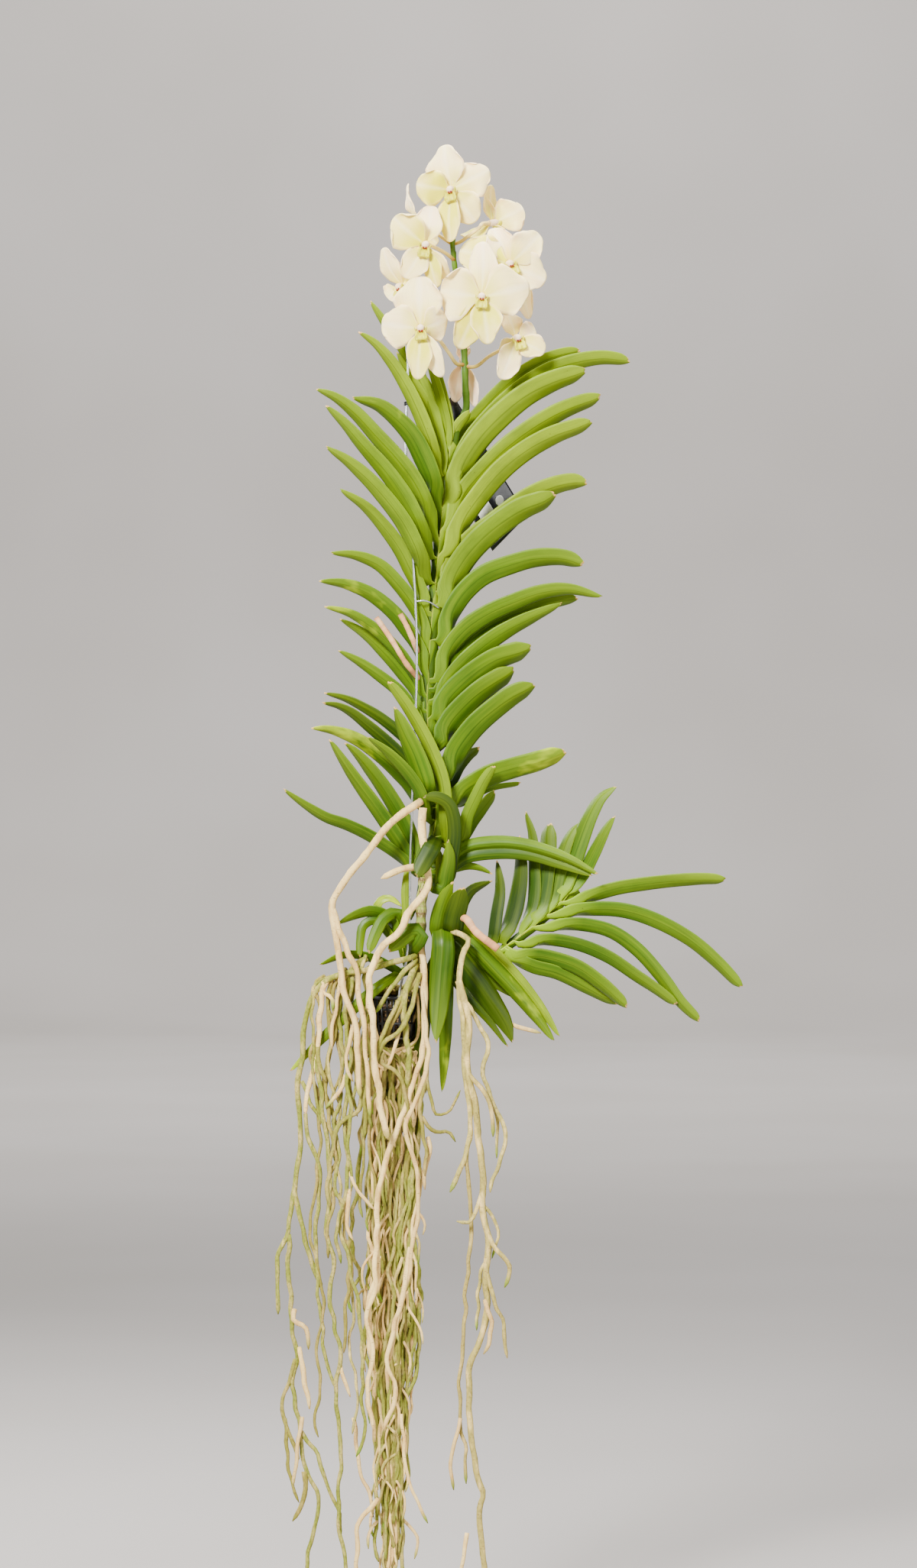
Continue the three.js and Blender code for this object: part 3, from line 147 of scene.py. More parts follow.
MAIN_LEAVES_LEFT = [
  [[[36, -185], [20, -110], [-5, -50], [-30, -15], [-44, 5]], -6, 15, LEFT],
  [[[32, -178], [18, -140], [5, -108], [-8, -82], [-22, -60], [-38, -42], [-55, -30]],
    -16, 14, dict(LEFT, base_y=-23)],
  [[[36, -165], [28, -135], [15, -105], [2, -80], [-10, -60], [-16, -48]], -10, 12,
    dict(LEFT, base_y=4)],
  [[[38, -150], [29, -118], [20, -92], [13, -70]], 0, 12, LEFT_FAR],
  [[[40, -150], [35, -120], [27, -88], [20, -65], [15, -46]], -22, 10, LEFT],
  [[[43, -142], [37, -110], [30, -82], [23, -56], [19, -42]], -10, 8, LEFT],
  [[[31, -215], [20, -180], [10, -157], [0, -138], [-15, -121], [-35, -106], [-62, -99]],
    -18, 19, dict(LEFT_NEAR, tone=0.5, age=0.2)],
  [[[28, -245], [17, -215], [3, -186], [-15, -162], [-37, -138], [-60, -113], [-80, -98],
    [-99, -90]], -19, 17, LEFT_NEAR],
  [[[24, -264], [8, -232], [-8, -202], [-28, -174], [-50, -149], [-70, -126], [-89, -108]],
    -20, 17, dict(LEFT_NEAR, base_y=-33)],
  [[[21, -290], [8, -262], [-8, -230], [-28, -203], [-48, -181], [-68, -164], [-89, -151]],
    -20, 17, dict(LEFT_NEAR, base_y=-33)],
  [[[18, -322], [12, -305], [0, -280], [-12, -256], [-30, -231], [-50, -210], [-75, -194]],
    -34, 15, LEFT],
  [[[18, -360], [12, -335], [0, -311], [-15, -291], [-35, -271], [-60, -261], [-85, -259]],
    -18, 14, LEFT],
  [[[17, -386], [8, -360], [-5, -340], [-20, -321], [-45, -301], [-70, -291], [-97, -288]],
    -16, 15, dict(LEFT, age=0.34)],
  [[[14, -410], [8, -396], [-8, -371], [-25, -351], [-45, -334], [-65, -322], [-91, -315]],
    -14, 12, dict(LEFT, age=0.36)],
  [[[13, -425], [5, -406], [-10, -385], [-30, -362], [-50, -343], [-76, -327]], 2, 13, LEFT_FAR],
  [[[15, -442], [2, -424], [-14, -404], [-35, -387], [-55, -373], [-77, -361]], -10, 12, LEFT],
  [[[12, -478], [-5, -456], [-30, -434], [-50, -421], [-70, -411], [-92, -405]], 6, 11,
    dict(LEFT, tone=0.9)],
  [[[14, -497], [-5, -478], [-22, -461], [-45, -441], [-65, -425], [-80, -418], [-94, -416]],
    -6, 12, dict(LEFT, tone=0.95)],
  [[[20, -520], [12, -495], [3, -470], [-6, -450], [-18, -421]], -10, 20, dict(LEFT, base_y=-29)],
  [[[14, -525], [-8, -496], [-35, -470], [-60, -453], [-85, -444], [-105, -442]], -14, 15,
    dict(LEFT, age=0.52)],
  [[[18, -538], [8, -509], [-5, -489], [-25, -468], [-46, -452]], -14, 12,
    dict(LEFT, base_y=-26)],
  [[[8, -588], [-5, -550], [-20, -521], [-40, -491], [-58, -469], [-70, -458]], -12, 17, LEFT],
  [[[6, -592], [-15, -560], [-35, -530], [-58, -498], [-76, -471], [-86, -455]], -20, 15, LEFT],
  [[[8, -592], [-25, -568], [-45, -555], [-70, -543], [-90, -536], [-110, -524], [-134, -507]],
    -24, 12, LEFT],
]

MAIN_LEAVES_FRONT = [
  [[[36, -566], [35, -540], [34, -515], [31, -495], [22, -470], [10, -445], [-5, -420],
    [-24, -394]], -16, 14,
    dict(hand=-1, roll=[60, 76, 70], fold=[50, 18, 14], base_y=-16, tone=0.12)],
  [[[34, -604], [40, -582], [44, -556], [43, -536], [38, -522], [27, -515], [12, -514]],
    -14, 14, dict(FACING, base_y=-22, tone=1.0)],
  [[[31, -610], [35, -594], [38, -576], [37, -560]], -12, 17,
    dict(FACING, base_y=-22, tone=0.6, pointed=True)],
  [[[27, -612], [29, -592], [27, -570]], 0, 9, dict(FACING, base_y=-20, tone=0.05)],
  [[[26, -556], [21, -566], [13, -580], [4, -597]], -8, 18, dict(FACING, base_y=-44, tone=1.0)],
  [[[28, -598], [56, -579], [88, -574], [122, -576], [152, -585], [187, -597]], -17, 11,
    dict(roll=[30, 84, 80], fold=[50, 20, 20], base_y=-2, tone=0.8, pointed=True)],
  [[[24, -592], [55, -568], [80, -563], [105, -563], [135, -569], [165, -580], [193, -595]],
    -22, 13, dict(roll=[30, 80, 74], fold=[50, 40, 38], base_y=-4, tone=0.35, pointed=True)],
  [[[24, -594], [58, -587], [70, -589], [83, -595]], 4, 8, dict(tone=0.6, pointed=True)],
  [[[38, -592], [46, -578], [56, -563]], 6, 10, dict(FACING, base_y=-6, tone=0.9, pointed=True)],
]

RIGHT_STEM = [
  [4, -705, 4], [44, -700, 20], [76, -690, 14], [99, -672, 2], [128, -650, 0], [160, -622, 0],
  [174, -613, 0],
]
RIGHT_LEAVES = [
  [[[158, -626], [187, -618], [215, -610], [240, -606], [275, -602], [308, -600], [327, -601]],
    -14, 14, RIGHT],
  [[[142, -640], [160, -634], [185, -632], [218, -633], [250, -642], [290, -663], [320, -688],
    [344, -713]], -18, 15, RIGHT],
  [[[128, -652], [145, -649], [175, -648], [207, -655], [235, -674], [262, -704], [280, -728],
    [300, -748]], -24, 14, RIGHT],
  [[[110, -668], [139, -664], [173, -669], [205, -682], [235, -702], [256, -716], [276, -731]],
    -20, 13, RIGHT],
  [[[106, -678], [139, -682], [173, -693], [202, -713], [225, -734]], -10, 15, RIGHT],
  [[[104, -680], [125, -692], [151, -699], [184, -715], [215, -731]], 8, 14, RIGHT],
  [[[155, -626], [163, -600], [173, -570], [186, -536], [198, -516], [213, -504]], -6, 17,
    dict(LEFT, tone=0.6)],
  [[[160, -620], [176, -600], [192, -570], [202, -550], [211, -535]], -20, 13, LEFT],
  [[[142, -640], [151, -605], [158, -575], [168, -552], [176, -542]], 4, 15,
    dict(LEFT, tone=0.7)],
  [[[130, -650], [137, -615], [142, -575], [144, -543]], 10, 18,
    dict(LEFT, tone=0.85, pointed=False)],
  [[[115, -660], [127, -625], [128, -585], [126, -555], [119, -531]], 16, 12,
    dict(LEFT, tone=0.85)],
  [[[97, -668], [108, -630], [114, -590], [112, -556]], 8, 16, dict(LEFT, tone=1.0)],
  [[[84, -680], [88, -640], [92, -612], [89, -582]], 12, 12, dict(LEFT, tone=1.0)],
]

LOWER_STEM = [[17, -697, 6], [26, -680, 4], [33, -661, 2], [38, -643, 1]]
LOWER_LEAVES = [
  [[[31, -640], [32, -672], [30, -700], [28, -730], [24, -770]], -14, 23,
    dict(FACING, base_y=-22, pointed=True, tone=0.75)],
  [[[34, -690], [35, -740], [33, -790], [31, -824]], 0, 13,
    dict(FACING, base_y=2, pointed=True, tone=0.5, age=0.3)],
  [[[18, -694], [14, -725], [10, -765], [5, -812]], 6, 14, dict(FACING, base_y=-6, tone=1.0)],
  [[[40, -659], [43, -642], [48, -624], [52, -609]], -24, 22, dict(FACING, base_y=-18, tone=0.9)],
  [[[26, -660], [28, -640], [34, -620], [42, -603]], -18, 17,
    dict(FACING, base_y=-12, pointed=True, tone=0.45)],
  [[[36, -651], [38, -635], [40, -614]], -4, 12, dict(FACING, base_y=-6, tone=0.9)],
  [[[42, -648], [66, -660], [93, -687], [118, -715], [138, -741], [153, -765]], -8, 13,
    dict(roll=[60, 88, 90], fold=[40, 20, 20], base_y=-6, pointed=True, age=0.4, tone=0.1)],
  [[[36, -652], [58, -667], [86, -695], [111, -722], [132, -748], [147, -769]], -14, 15,
    dict(tone=0.7, roll=[60, 88, 90], fold=[40, 42, 40], base_y=-10, pointed=True, age=0.25)],
  [[[34, -668], [62, -702], [82, -730], [97, -753], [105, -772]], 4, 24,
    dict(FACING, base_y=-4, pointed=True, tone=1.0)],
  [[[36, -700], [62, -730], [82, -752], [99, -776]], -8, 8,
    dict(FACING, base_y=-6, pointed=True)],
  [[[34, -682], [80, -706], [108, -726]], 4, 12, dict(FACING, base_y=0, pointed=True)],
  [[[40, -650], [60, -614], [82, -603]], 16, 12, dict(pointed=True, tone=1.0)],
]

LEFT_STEM = [[0, -700, 8], [-8, -686, 2], [-12, -668, 0], [-12, -650, 0]]
LEFT_LEAVES = [
  [[[-12, -660], [-24, -642], [-42, -634], [-60, -638], [-78, -647]], -16, 11, LEFT],
  [[[-16, -668], [-36, -640], [-36, -626], [-25, -621], [-12, -629]], -4, 9,
    dict(LEFT, age=0.6, tone=0.3)],
  [[[-12, -652], [-16, -636], [-30, -642], [-38, -656], [-46, -677]], -22, 12,
    dict(FACING, base_y=-6)],
  [[[-12, -672], [-40, -644], [-52, -650], [-55, -665], [-56, -682]], -10, 9,
    dict(FACING, base_y=0)],
  [[[-4, -676], [8, -657], [0, -655], [-12, -663], [-25, -675]], -8, 17,
    dict(FACING, base_y=-22)],
  [[[-8, -700], [-32, -688], [-52, -681], [-72, -680], [-97, -690]], -14, 9, LEFT],
  [[[-6, -696], [-34, -712], [-62, -736], [-95, -768], [-128, -802]], 22, 11,
    dict(FACING, base_y=-30, pointed=True, tone=0.25, age=0.2)],
  [[[-12, -676], [-7, -640], [-8, -612], [-5, -588]], 6, 8, dict(FACING, base_y=-10, tone=0.1)],
]

# A bloom's row: its centre, the way it faces, and its top sepal, right petal, right and left
# sepal and left petal: each one's tip, how far back the tip lies, its width, its turn in
# degrees and how yellow it is.
BLOOMS = [
  ([41, -2, 121], [-0.3, -0.93, -0.1], [
    [32, 169, 8, 35, 0, 0.15], [80, 143, 10, 36, 0, 0.2], [67, 89, 2, 33, 0, 0.5],
    [38, 66, -6, 21, 0, 1.0], [4, 125, -12, 33, 0, 0.85]]),
  ([14, -24, 61], [-0.1, -0.95, -0.2], [
    [21, 103, 12, 25, 0, 0.1], [37, 27, 12, 21, 20, 0.35], [26, 17, 4, 17, 0, 0.9],
    [-8, 26, 0, 25, 0, 0.4], [-20, 88, -4, 36, 0, 0.6]]),
  ([9, 30, 88], [-0.6, 0.75, 0.2], [
    [-5, 133, 4, 18, 68, 0.1], [24, 102, 14, 20, 0, 0.2], [26, 70, 10, 20, 0, 0.5],
    [2, 58, -2, 18, 0, 0.5], [-14, 78, -4, 20, 0, 0.2]]),
  ([-10, -14, 18], [-0.6, -0.7, -0.1], [
    [-31, 58, -4, 21, 0, 0.15], [10, 46, 14, 18, 0, 0.3], [8, 2, 6, 18, 0, 0.6],
    [-4, -12, 0, 16, 0, 0.6], [-25, 5, -4, 25, 0, 0.3]]),
  ([9, -40, -28], [-0.05, -0.98, -0.1], [
    [5, 27, 10, 43, 0, 0.1], [36, -16, 8, 34, 25, 0.15], [31, -78, 4, 19, 10, 0.25],
    [5, -81, -2, 23, 0, 0.8], [-32, -23, 4, 39, 0, 0.1]]),
  ([72, -36, 5], [0.02, -0.98, -0.05], [
    [75, 64, 12, 26, 0, 0.15], [122, 17, 6, 46, 0, 0.3], [80, -44, -2, 29, 0, 0.85],
    [48, -47, 14, 27, 0, 0.9], [29, 13, 12, 48, 0, 0.3]]),
  ([100, 2, 43], [0.35, -0.9, 0.05], [
    [84, 83, 12, 29, 0, 0.15], [132, 77, 6, 31, 0, 0.15], [139, 26, 4, 38, 0, 0.2],
    [123, -12, 10, 22, 0, 0.2], [50, 60, 6, 40, 0, 0.9]]),
  ([83, 28, 90], [0.75, 0.5, 0.1], [
    [83, 131, 2, 13, 80, 0.5], [115, 107, -6, 33, 20, 0.25], [97, 74, 2, 14, 0, 0.7],
    [50, 77, -8, 20, 30, 0.9], [76, 117, 2, 10, 40, 0.2]]),
  ([108, -6, -35], [0.3, -0.92, -0.05], [
    [99, -5, 10, 20, 0, 0.1], [129, -27, 8, 25, 0, 0.1], [137, -51, 0, 23, 0, 0.5],
    [91, -77, -2, 23, 0, 0.15], [91, -46, 10, 15, 0, 0.3]]),
  ([52, 38, -54], [0, 0.95, -0.2], [
    [53, -26, 2, 12, 0, 0.1], [60, -40, 4, 8, 60, 0.1], [65, -103, -8, 16, 20, 0.1],
    [44, -98, -8, 19, -10, 0.1], [48, -40, 4, 8, 60, 0.1]]),
]
PETALS = (1, 4)  # which of the five are petals
# this bloom lies behind the stalk: its darker petals are partly fading and partly painted shade
SHADED_FADED_BLOOM = 10

STALK_PATH = [
  [42, -136, 27], [50, -122, 28], [56, -105, 26], [55, -80, 20], [54, -50, 18], [50, -5, 18],
  [45, 35, 16], [42, 60, 14], [41, 85, 12], [40, 108, 10],
]
# Each pedicel's bloom, and its points up to where it turns to it.
PEDICELS = [
  (0, [[40, 104, 10]]),
  (1, [[43, 50, 14], [34, 56, 4]]),
  (2, [[42, 66, 14], [30, 74, 14]]),
  (3, [[48, 10, 18], [22, 17, 8]]),
  (4, [[54, -60, 18], [46, -60, 8], [38, -50, -6], [24, -34, -22]]),
  (5, [[53, -34, 18], [62, -21, 0], [68, -4, -24]]),
  (6, [[47, 24, 16], [70, 34, 14]]),
  (7, [[41, 66, 14], [50, 69, 14], [60, 76, 12], [70, 84, 14]]),
  (8, [[55, -62, 18], [66, -62, 16], [80, -52, 10], [94, -44, 8]]),
  (9, [[54, -50, 18], [53, -50, 26]]),
]

LEFT_FRONT_ROOT = [
  [3.7, [[9, -519, -14], [-10, -531, -24], [-31, -552, -28], [-53, -580, -28], [-74, -606, -26],
    [-84, -629, -24], [-80, -657, -22], [-74, -694], [-72, -714], [-60, -746], [-58, -767],
    [-54, -828]]],
  [2.9, [[-84, -629, -24], [-79, -645, -24], [-68, -674, -26], [-57, -700, -28], [-57, -714, -30],
    [-51, -746, -30], [-47, -808, -28], [-44, -848]]],
]

MIDDLE_FRONT_ROOT = [
  [3.8, [[11, -526, -18], [11, -550, -20], [16, -593, -20], [16, -610, -24], [-1, -631, -26],
    [-14, -655], [-34, -674, -26], [-43, -696, -30], [-45, -720, -34], [-40, -746, -36],
    [-40, -779], [-36, -808, -36], [-32, -844, -34], [-25, -871, -32]]],
]

SHORT_ROOT = [
  [3.6, [[2, -588, 0], [-10, -590, -6], [-33, -600, -10]]],
]

STEM_ROOTS = [
  [3.1, [[6, -662, 10], [12, -700, 2], [13, -746, 0], [11, -777, -4], [3, -808, -10],
    [-7, -838, -14], [-17, -863, -14], [-27, -889, -12], [-35, -926, -10], [-37, -975, -8],
    [-37, -1016, -6], [-46, -1045], [-46, -1065], [-43, -1104]]],
  [2.6, [[4, -684, 12], [-4, -692, -4], [-13, -702, -8], [-29, -722, -10], [-38, -740]]],
  [3.4, [[4, -690, 12], [-2, -700, -4], [-8, -726, -14], [-8, -755, -16], [-3, -787, -16],
    [-8, -820, -14]]],
  [2.6, [[2, -705, 10], [-12, -730, -16], [-28, -765, -18], [-38, -790]]],
  [3, [[4, -680, 12], [-6, -684, -5], [-24, -688, -10], [-46, -695, -12], [-70, -699, -10],
    [-93, -708, -8], [-107, -728, -6], [-114, -757, -4], [-116, -787, -4], [-121, -818, -2],
    [-119, -848, 0], [-118, -879], [-124, -926], [-117, -959], [-111, -984], [-103, -1010],
    [-95, -1031]]],
  [2.4, [[-123, -922, 0], [-127, -939, 0], [-130, -973, 2], [-141, -996], [-144, -1024],
    [-141, -1057]]],
  [2.4, [[-130, -973, 2], [-129, -1024, 4], [-127, -1065], [-122, -1100], [-125, -1128],
    [-121, -1162], [-116, -1193], [-113, -1220], [-101, -1240], [-98, -1256], [-103, -1281],
    [-111, -1316], [-112, ROOT_END]]],
  [2.2, [[-123, -1104, 4], [-129, -1128, 2], [-136, -1142], [-134, -1166], [-127, -1187],
    [-119, -1209]]],
  [2.2, [[-117, -1180, 4], [-110, -1190, 4], [-101, -1203, 2], [-93, -1228, 0], [-84, -1250],
    [-78, -1264], [-75, -1290]]],
  [2, [[-134, -1166, 2], [-131, -1209, 0], [-126, -1234], [-119, -1254]]],
  [2.8, [[-93, -708, -8], [-98, -757], [-101, -787], [-109, -820], [-112, -848]]],
  [2.6, [[-99, -775, -8], [-97, -790, -12], [-90, -812, -14]]],
  [2.4, [[-101, -787, -8], [-94, -840, -10], [-87, -892], [-86, -926], [-90, -963], [-83, -994],
    [-85, -1024], [-84, -1055], [-76, -1100], [-80, -1132], [-78, -1173], [-75, -1213],
    [-77, -1244], [-78, -1275], [-69, -1316], [-68, ROOT_END]]],
  [2.2, [[-112, -846, -8], [-108, -871, -6], [-101, -892, -4], [-96, -914], [-99, -943],
    [-101, -973], [-100, -1004], [-99, -1035], [-95, -1071], [-89, -1111, -4], [-80, -1134, -8]]],
  [2.4, [[10, -690, 8], [14, -800, -16], [-7, -861, -22], [1, -892, -22], [7, -933, -20],
    [2, -973, -18], [-3, -1014, -16], [-11, -1041, -14], [-17, -1065, -14], [-23, -1096, -12],
    [-27, -1111], [-26, -1138]]],
  [2.2, [[12, -806, -17], [9, -850, -20], [15, -885, -22], [13, -910]]],
  [1.8, [[14, -806, -17], [28, -848, -12], [44, -836, -4], [50, -822, 2]]],
  [2, [[10, -848, -19], [22, -866, -14], [34, -862, -8], [45, -876, -2]]],
]

RIGHT_ROOTS = [
  [3, [[39, -653, 11], [46, -657, -6], [59, -663, -16], [52, -681, -20], [48, -706, -20],
    [52, -746, -18], [54, -787, -16], [57, -818, -14], [60, -848, -12], [58, -879, -10],
    [52, -897], [44, -916], [39, -928]]],
  [3.5, [[48, -706, -20], [58, -746, -20], [56, -797, -16], [67, -840, -14], [69, -869, -12],
    [73, -910, -10], [72, -945], [78, -970], [78, -994], [77, -1024], [77, -1055], [71, -1083],
    [60, -1109], [59, -1132], [60, -1162], [63, -1193], [67, -1224], [73, -1244], [69, -1260],
    [71, -1285], [75, -1322], [76, ROOT_END]]],
  [2.2, [[73, -925, -10], [67, -947, -12], [56, -960], [46, -958]]],
  [2.4, [[53, -725, -20], [62, -740, -16], [71, -757, -12], [79, -771], [73, -797], [79, -818],
    [85, -838], [95, -861], [94, -885], [85, -910], [81, -928]]],
  [2.4, [[56, -800, -16], [66, -812, -20], [75, -822, -20], [81, -844, -22], [84, -869]]],
  [1.8, [[86, -841, -12], [90, -866, -4], [88, -893, -2]]],
  [2.2, [[57, -882, -10], [58, -922, -4], [60, -953, -2], [61, -984, 0], [57, -1014], [55, -1055],
    [53, -1090, 0], [50, -1122, -2], [49, -1162], [55, -1199], [56, -1234]]],
  [2.6, [[77, -965, -10], [84, -982, -14], [93, -992, -16], [103, -1008], [96, -1027]]],
  [1.8, [[72, -940, -10], [84, -955, -4], [90, -972, -2], [83, -998]]],
  [2, [[77, -1000, -10], [70, -1020, -6], [68, -1050, -4], [67, -1073]]],
  [2.2, [[77, -1010, -10], [85, -1043, -14], [94, -1060], [95, -1082], [99, -1101]]],
]

SIDE_ROOT = [
  [2.2, [[84, -741, 24], [95, -748, 22], [112, -757, 20], [135, -763, 18]]],
]

WIRE_PATH = [
  [-5, -60], [-6, -103], [-7, -135], [-6, -200], [0, -259], [4, -340], [4, -400], [2, -451],
  [0, -507], [-2.5, -582], [-3.6, -646], [-7, -689, 0], [-11, -706, -1],
]

OLD_STEM_PATH = [
  [11.6, -598.8, STEM_Y], [9, -630], [8, -665, STEM_Y], [6, -695, STEM_Y + 1],
  [-2, -716, STEM_Y + 4], [-12, -727, STEM_Y + 7], [-15, -733, BASKET["y"]],
]

# A dry stalk's piece, its radius and path, and the part it replaces.
DRY_STALKS = [
  ("dry_stalk_high", (2.8, [[-13, -323, -5], [-6, -336, -3], [1, -352, 2], [5, -362, 12]]),
   "dry_stalk_upper"),
  ("dry_stalk_low", (2.8, [[-38, -327, -12], [-22, -350, -9], [-6, -376, -2], [7, -391, 12]]),
   "dry_stalk_lower"),
  ("stalk_cut", (4, [[42, -641, 11], [56, -642, -14], [66, -655, -20], [89, -673, -24]]),
   "cut_stalk"),
]

# Slighter roots: how moist each is, from 0 for dry to 1 for olive, its radius and path.
LOOSE_ROOTS = [
  [0, 2.0, [[-88, -706, -8], [-94, -722, -10], [-85, -724, -12], [-83, -738]]],
  [0, 2.0, [[-76, -700, -8], [-80, -732, -12], [-83, -754], [-84, -778]]],
  [1, 2.2, [[-66, -698, -8], [-75, -712, -6], [-78, -738], [-75, -764, -6], [-67, -802, -8],
    [-71, -850, -8], [-66, -900, -6]]],
  [1, 2.0, [[-84, -704, -6], [-90, -730, -2], [-86, -775], [-92, -815], [-84, -850]]],
  [1, 1.8, [[-56, -694, -6], [-66, -735, 0], [-60, -775, 2], [-66, -812, 4], [-58, -850]]],
  [0, 2.0, [[-58, -745, -10], [-66, -773, -14], [-69, -792], [-62, -812]]],
  [0, 2.0, [[-70, -806, -8], [-74, -821, -12], [-86, -832], [-91, -840]]],
  [1, 1.8, [[-116, -812, -4], [-106, -837, -8], [-91, -856, -8], [-83, -872, -6],
    [-80, -900, -4]]],
  [1, 2.2, [[-52, -818, -8], [-58, -844, -14], [-77, -856], [-83, -882, -14], [-88, -914, -12],
    [-86, -946]]],
  [1, 1.8, [[-70, -850, -8], [-72, -863, -10], [-67, -895], [-64, -927]]],
  [0, 2.0, [[-66, -925, -8], [-67, -940, -12], [-69, -956], [-62, -978]]],
  [0, 1.9, [[-66, -905, -6], [-61, -920, -14], [-50, -936, -14], [-40, -946, -12]]],
  [1, 2.4, [[8, -700, 4], [-10, -754, -24], [-32, -773, -26], [-42, -799, -24],
    [-50, -840, -18]]],
  [1, 2.2, [[6, -700, 4], [-22, -744, -24], [-38, -786, -26], [-48, -824, -22],
    [-50, -870, -16]]],
  [1, 2.0, [[-30, -780, -22], [-34, -789, -24], [-19, -799, -24], [-10, -815, -22],
    [-4, -850, -16]]],
  [0, 1.7, [[-14, -760, -20], [-20, -775, -24], [-22, -790, -24], [-28, -800, -22]]],
  [0, 2.0, [[16, -870, -12], [18, -882, -16], [14, -908, -16], [13, -925, -14]]],
  [1, 2.0, [[-66, -978, -10], [-67, -1024, -12], [-70, -1055, -12], [-72, -1096, -10]]],
  [0, 2.3, [[-124, -1052, 2], [-123, -1063, -4], [-113, -1069, -6], [-109, -1080, -6],
    [-109, -1093, -4]]],
  [0, 2.3, [[-119, -1092, 4], [-117, -1103, -2], [-112, -1129, -4], [-108, -1156, -2]]],
  [0, 2.0, [[-116, -1165, 4], [-118, -1180, -2], [-120, -1206, -2], [-126, -1238, 0]]],
  [1, 2.4, [[-114, -1222, 4], [-112, -1234, 2], [-118, -1256], [-126, -1274]]],
  [0, 1.8, [[-76, -1105, -8], [-73, -1119, -12], [-69, -1130, -12], [-65, -1142, -10]]],
  [0, 1.9, [[-62, -1165, 0], [-59, -1193, 4], [-54, -1225, 6], [-44, -1245], [-42, -1268]]],
  [0, 2.2, [[-36, -1250, 0], [-44, -1258, -4], [-57, -1277, -6], [-58, -1330, -4]]],
  [0, 2.3, [[-36, -960, -14], [-38, -1000, -16], [-39, -1032, -16], [-49, -1061, -14],
    [-46, -1064], [-42, -1097], [-46, -1129, -14], [-41, -1176, -12]]],
  [0, 2.4, [[-2, -985, -14], [-9, -1032, -16], [-18, -1064, -18], [-26, -1106], [-18, -1135, -18],
    [-30, -1176, -16]]],
  [0, 1.8, [[-12, -1160, -8], [-9, -1184, -12], [-5, -1225], [4, -1251, -12], [16, -1274, -10]]],
  [0, 1.3, [[-6, -1035, -4], [-2, -1053, -8], [6, -1068], [11, -1087]]],
  [0, 1.9, [[50, -1165, -4], [46, -1180, -8], [41, -1206, -8], [43, -1240, -6]]],
  [0, 2.0, [[57, -1285, -4], [54, -1303, -6], [51, -1319], [50, -1336]]],
  [0, 2.2, [[76, -1040, -10], [80, -1055, -14], [82, -1074, -14], [74, -1097, -12]]],
]

# These points are given as (x, y, z).
RING_PATH = [(4.2, -0.6, -309.5), (12, -1, -309), (19, 2, -311), (27, 8, -316)]
TIE_PATH = [(-3.8, -2, -103), (2, 3, -102.5), (10, 12, -102), (20, 26, -104), (26, 33, -106)]
DRY_ROOTS = (0, 10, 14)  # the dry, pale ones among STEM_ROOTS

# ---- lines and tubes --------------------------------------------------------------------
def route(row):
    """A row of points as vectors, with each missing depth filled in."""
    depths = {k: p[2] for k, p in enumerate(row) if len(p) > 2}
    depths.setdefault(0, 0)
    depths.setdefault(len(row) - 1, depths[max(depths)])
    points = []
    for i, p in enumerate(row):
        low, high = max(k for k in depths if k <= i), min(k for k in depths if k >= i)
        depth = mix(depths[low], depths[high], (i - low) / max(1, high - low))
        points.append(Vector((p[0], depth, p[1])))
    return points


class Line:
    """A smooth curve through points, read by the share of its length."""

    STEPS = 10

    def __init__(self, points):
        ends = [2 * points[0] - points[1], *points, 2 * points[-1] - points[-2]]
        self.points = [points[0].copy()]
        for a, b, c, d in zip(ends, ends[1:], ends[2:], ends[3:]):
            gaps = [max(1e-3, (q - p).length) ** 0.5 for p, q in ((a, b), (b, c), (c, d))]
            enter = (b - a) / gaps[0] - (c - a) / (gaps[0] + gaps[1]) + (c - b) / gaps[1]
            leave = (c - b) / gaps[1] - (d - b) / (gaps[1] + gaps[2]) + (d - c) / gaps[2]
            enter, leave = enter * gaps[1], leave * gaps[1]
            for k in range(1, self.STEPS + 1):
                t = k / self.STEPS
                self.points.append(
                    b * (2 * t**3 - 3 * t**2 + 1) + enter * (t**3 - 2 * t**2 + t)
                    + c * (3 * t**2 - 2 * t**3) + leave * (t**3 - t**2))
        self.reach = [0.0]
        for p, q in zip(self.points, self.points[1:]):
            self.reach.append(self.reach[-1] + (q - p).length)
        self.length = self.reach[-1]

    def at(self, share):
        """The point at a share of the length."""
        goal = clamp(share) * self.length
        low, high = 0, len(self.reach) - 1
        while high - low > 1:
            middle = (low + high) // 2
            if self.reach[middle] <= goal:
                low = middle
            else:
                high = middle
        span = self.reach[high] - self.reach[low]
        return self.points[low].lerp(self.points[high], (goal - self.reach[low]) / max(span, 1e-6))

    def heading(self, share):
        """The direction of growth at a share of the length."""
        step = 0.5 / max(8, len(self.points))
        return (self.at(share + step) - self.at(share - step)).normalized()


def nearest(line, x, z):
    """The point of a row of points that is nearest to x, z as seen from the front, and how far
    along the row it lies."""
    best = None
    travelled = 0.0
    for a, b in zip(line, line[1:]):
        run = Vector((b.x - a.x, b.z - a.z))
        share = clamp(Vector((x - a.x, z - a.z)).dot(run) / run.length_squared)
        point = a.lerp(b, share)
        away = math.hypot(point.x - x, point.z - z)
        if best is None or away < best[0]:
            best = (away, point, travelled + share * (b - a).length)
        travelled += (b - a).length
    return best[1], best[2]


def blank():
    """An empty mesh with two colour layers: where a point lies, and how it looks."""
    bm = bmesh.new()
    for name in ("place", "look"):
        bm.verts.layers.float_color.new(name)
    return bm


def tints(bm):
    """A mesh's two colour layers. place holds a point's distance along its leaf or root and
    across it in metres, the growth's seed and the share of its length. look holds four shares
    that each material reads in its own way."""
    return bm.verts.layers.float_color["place"], bm.verts.layers.float_color["look"]


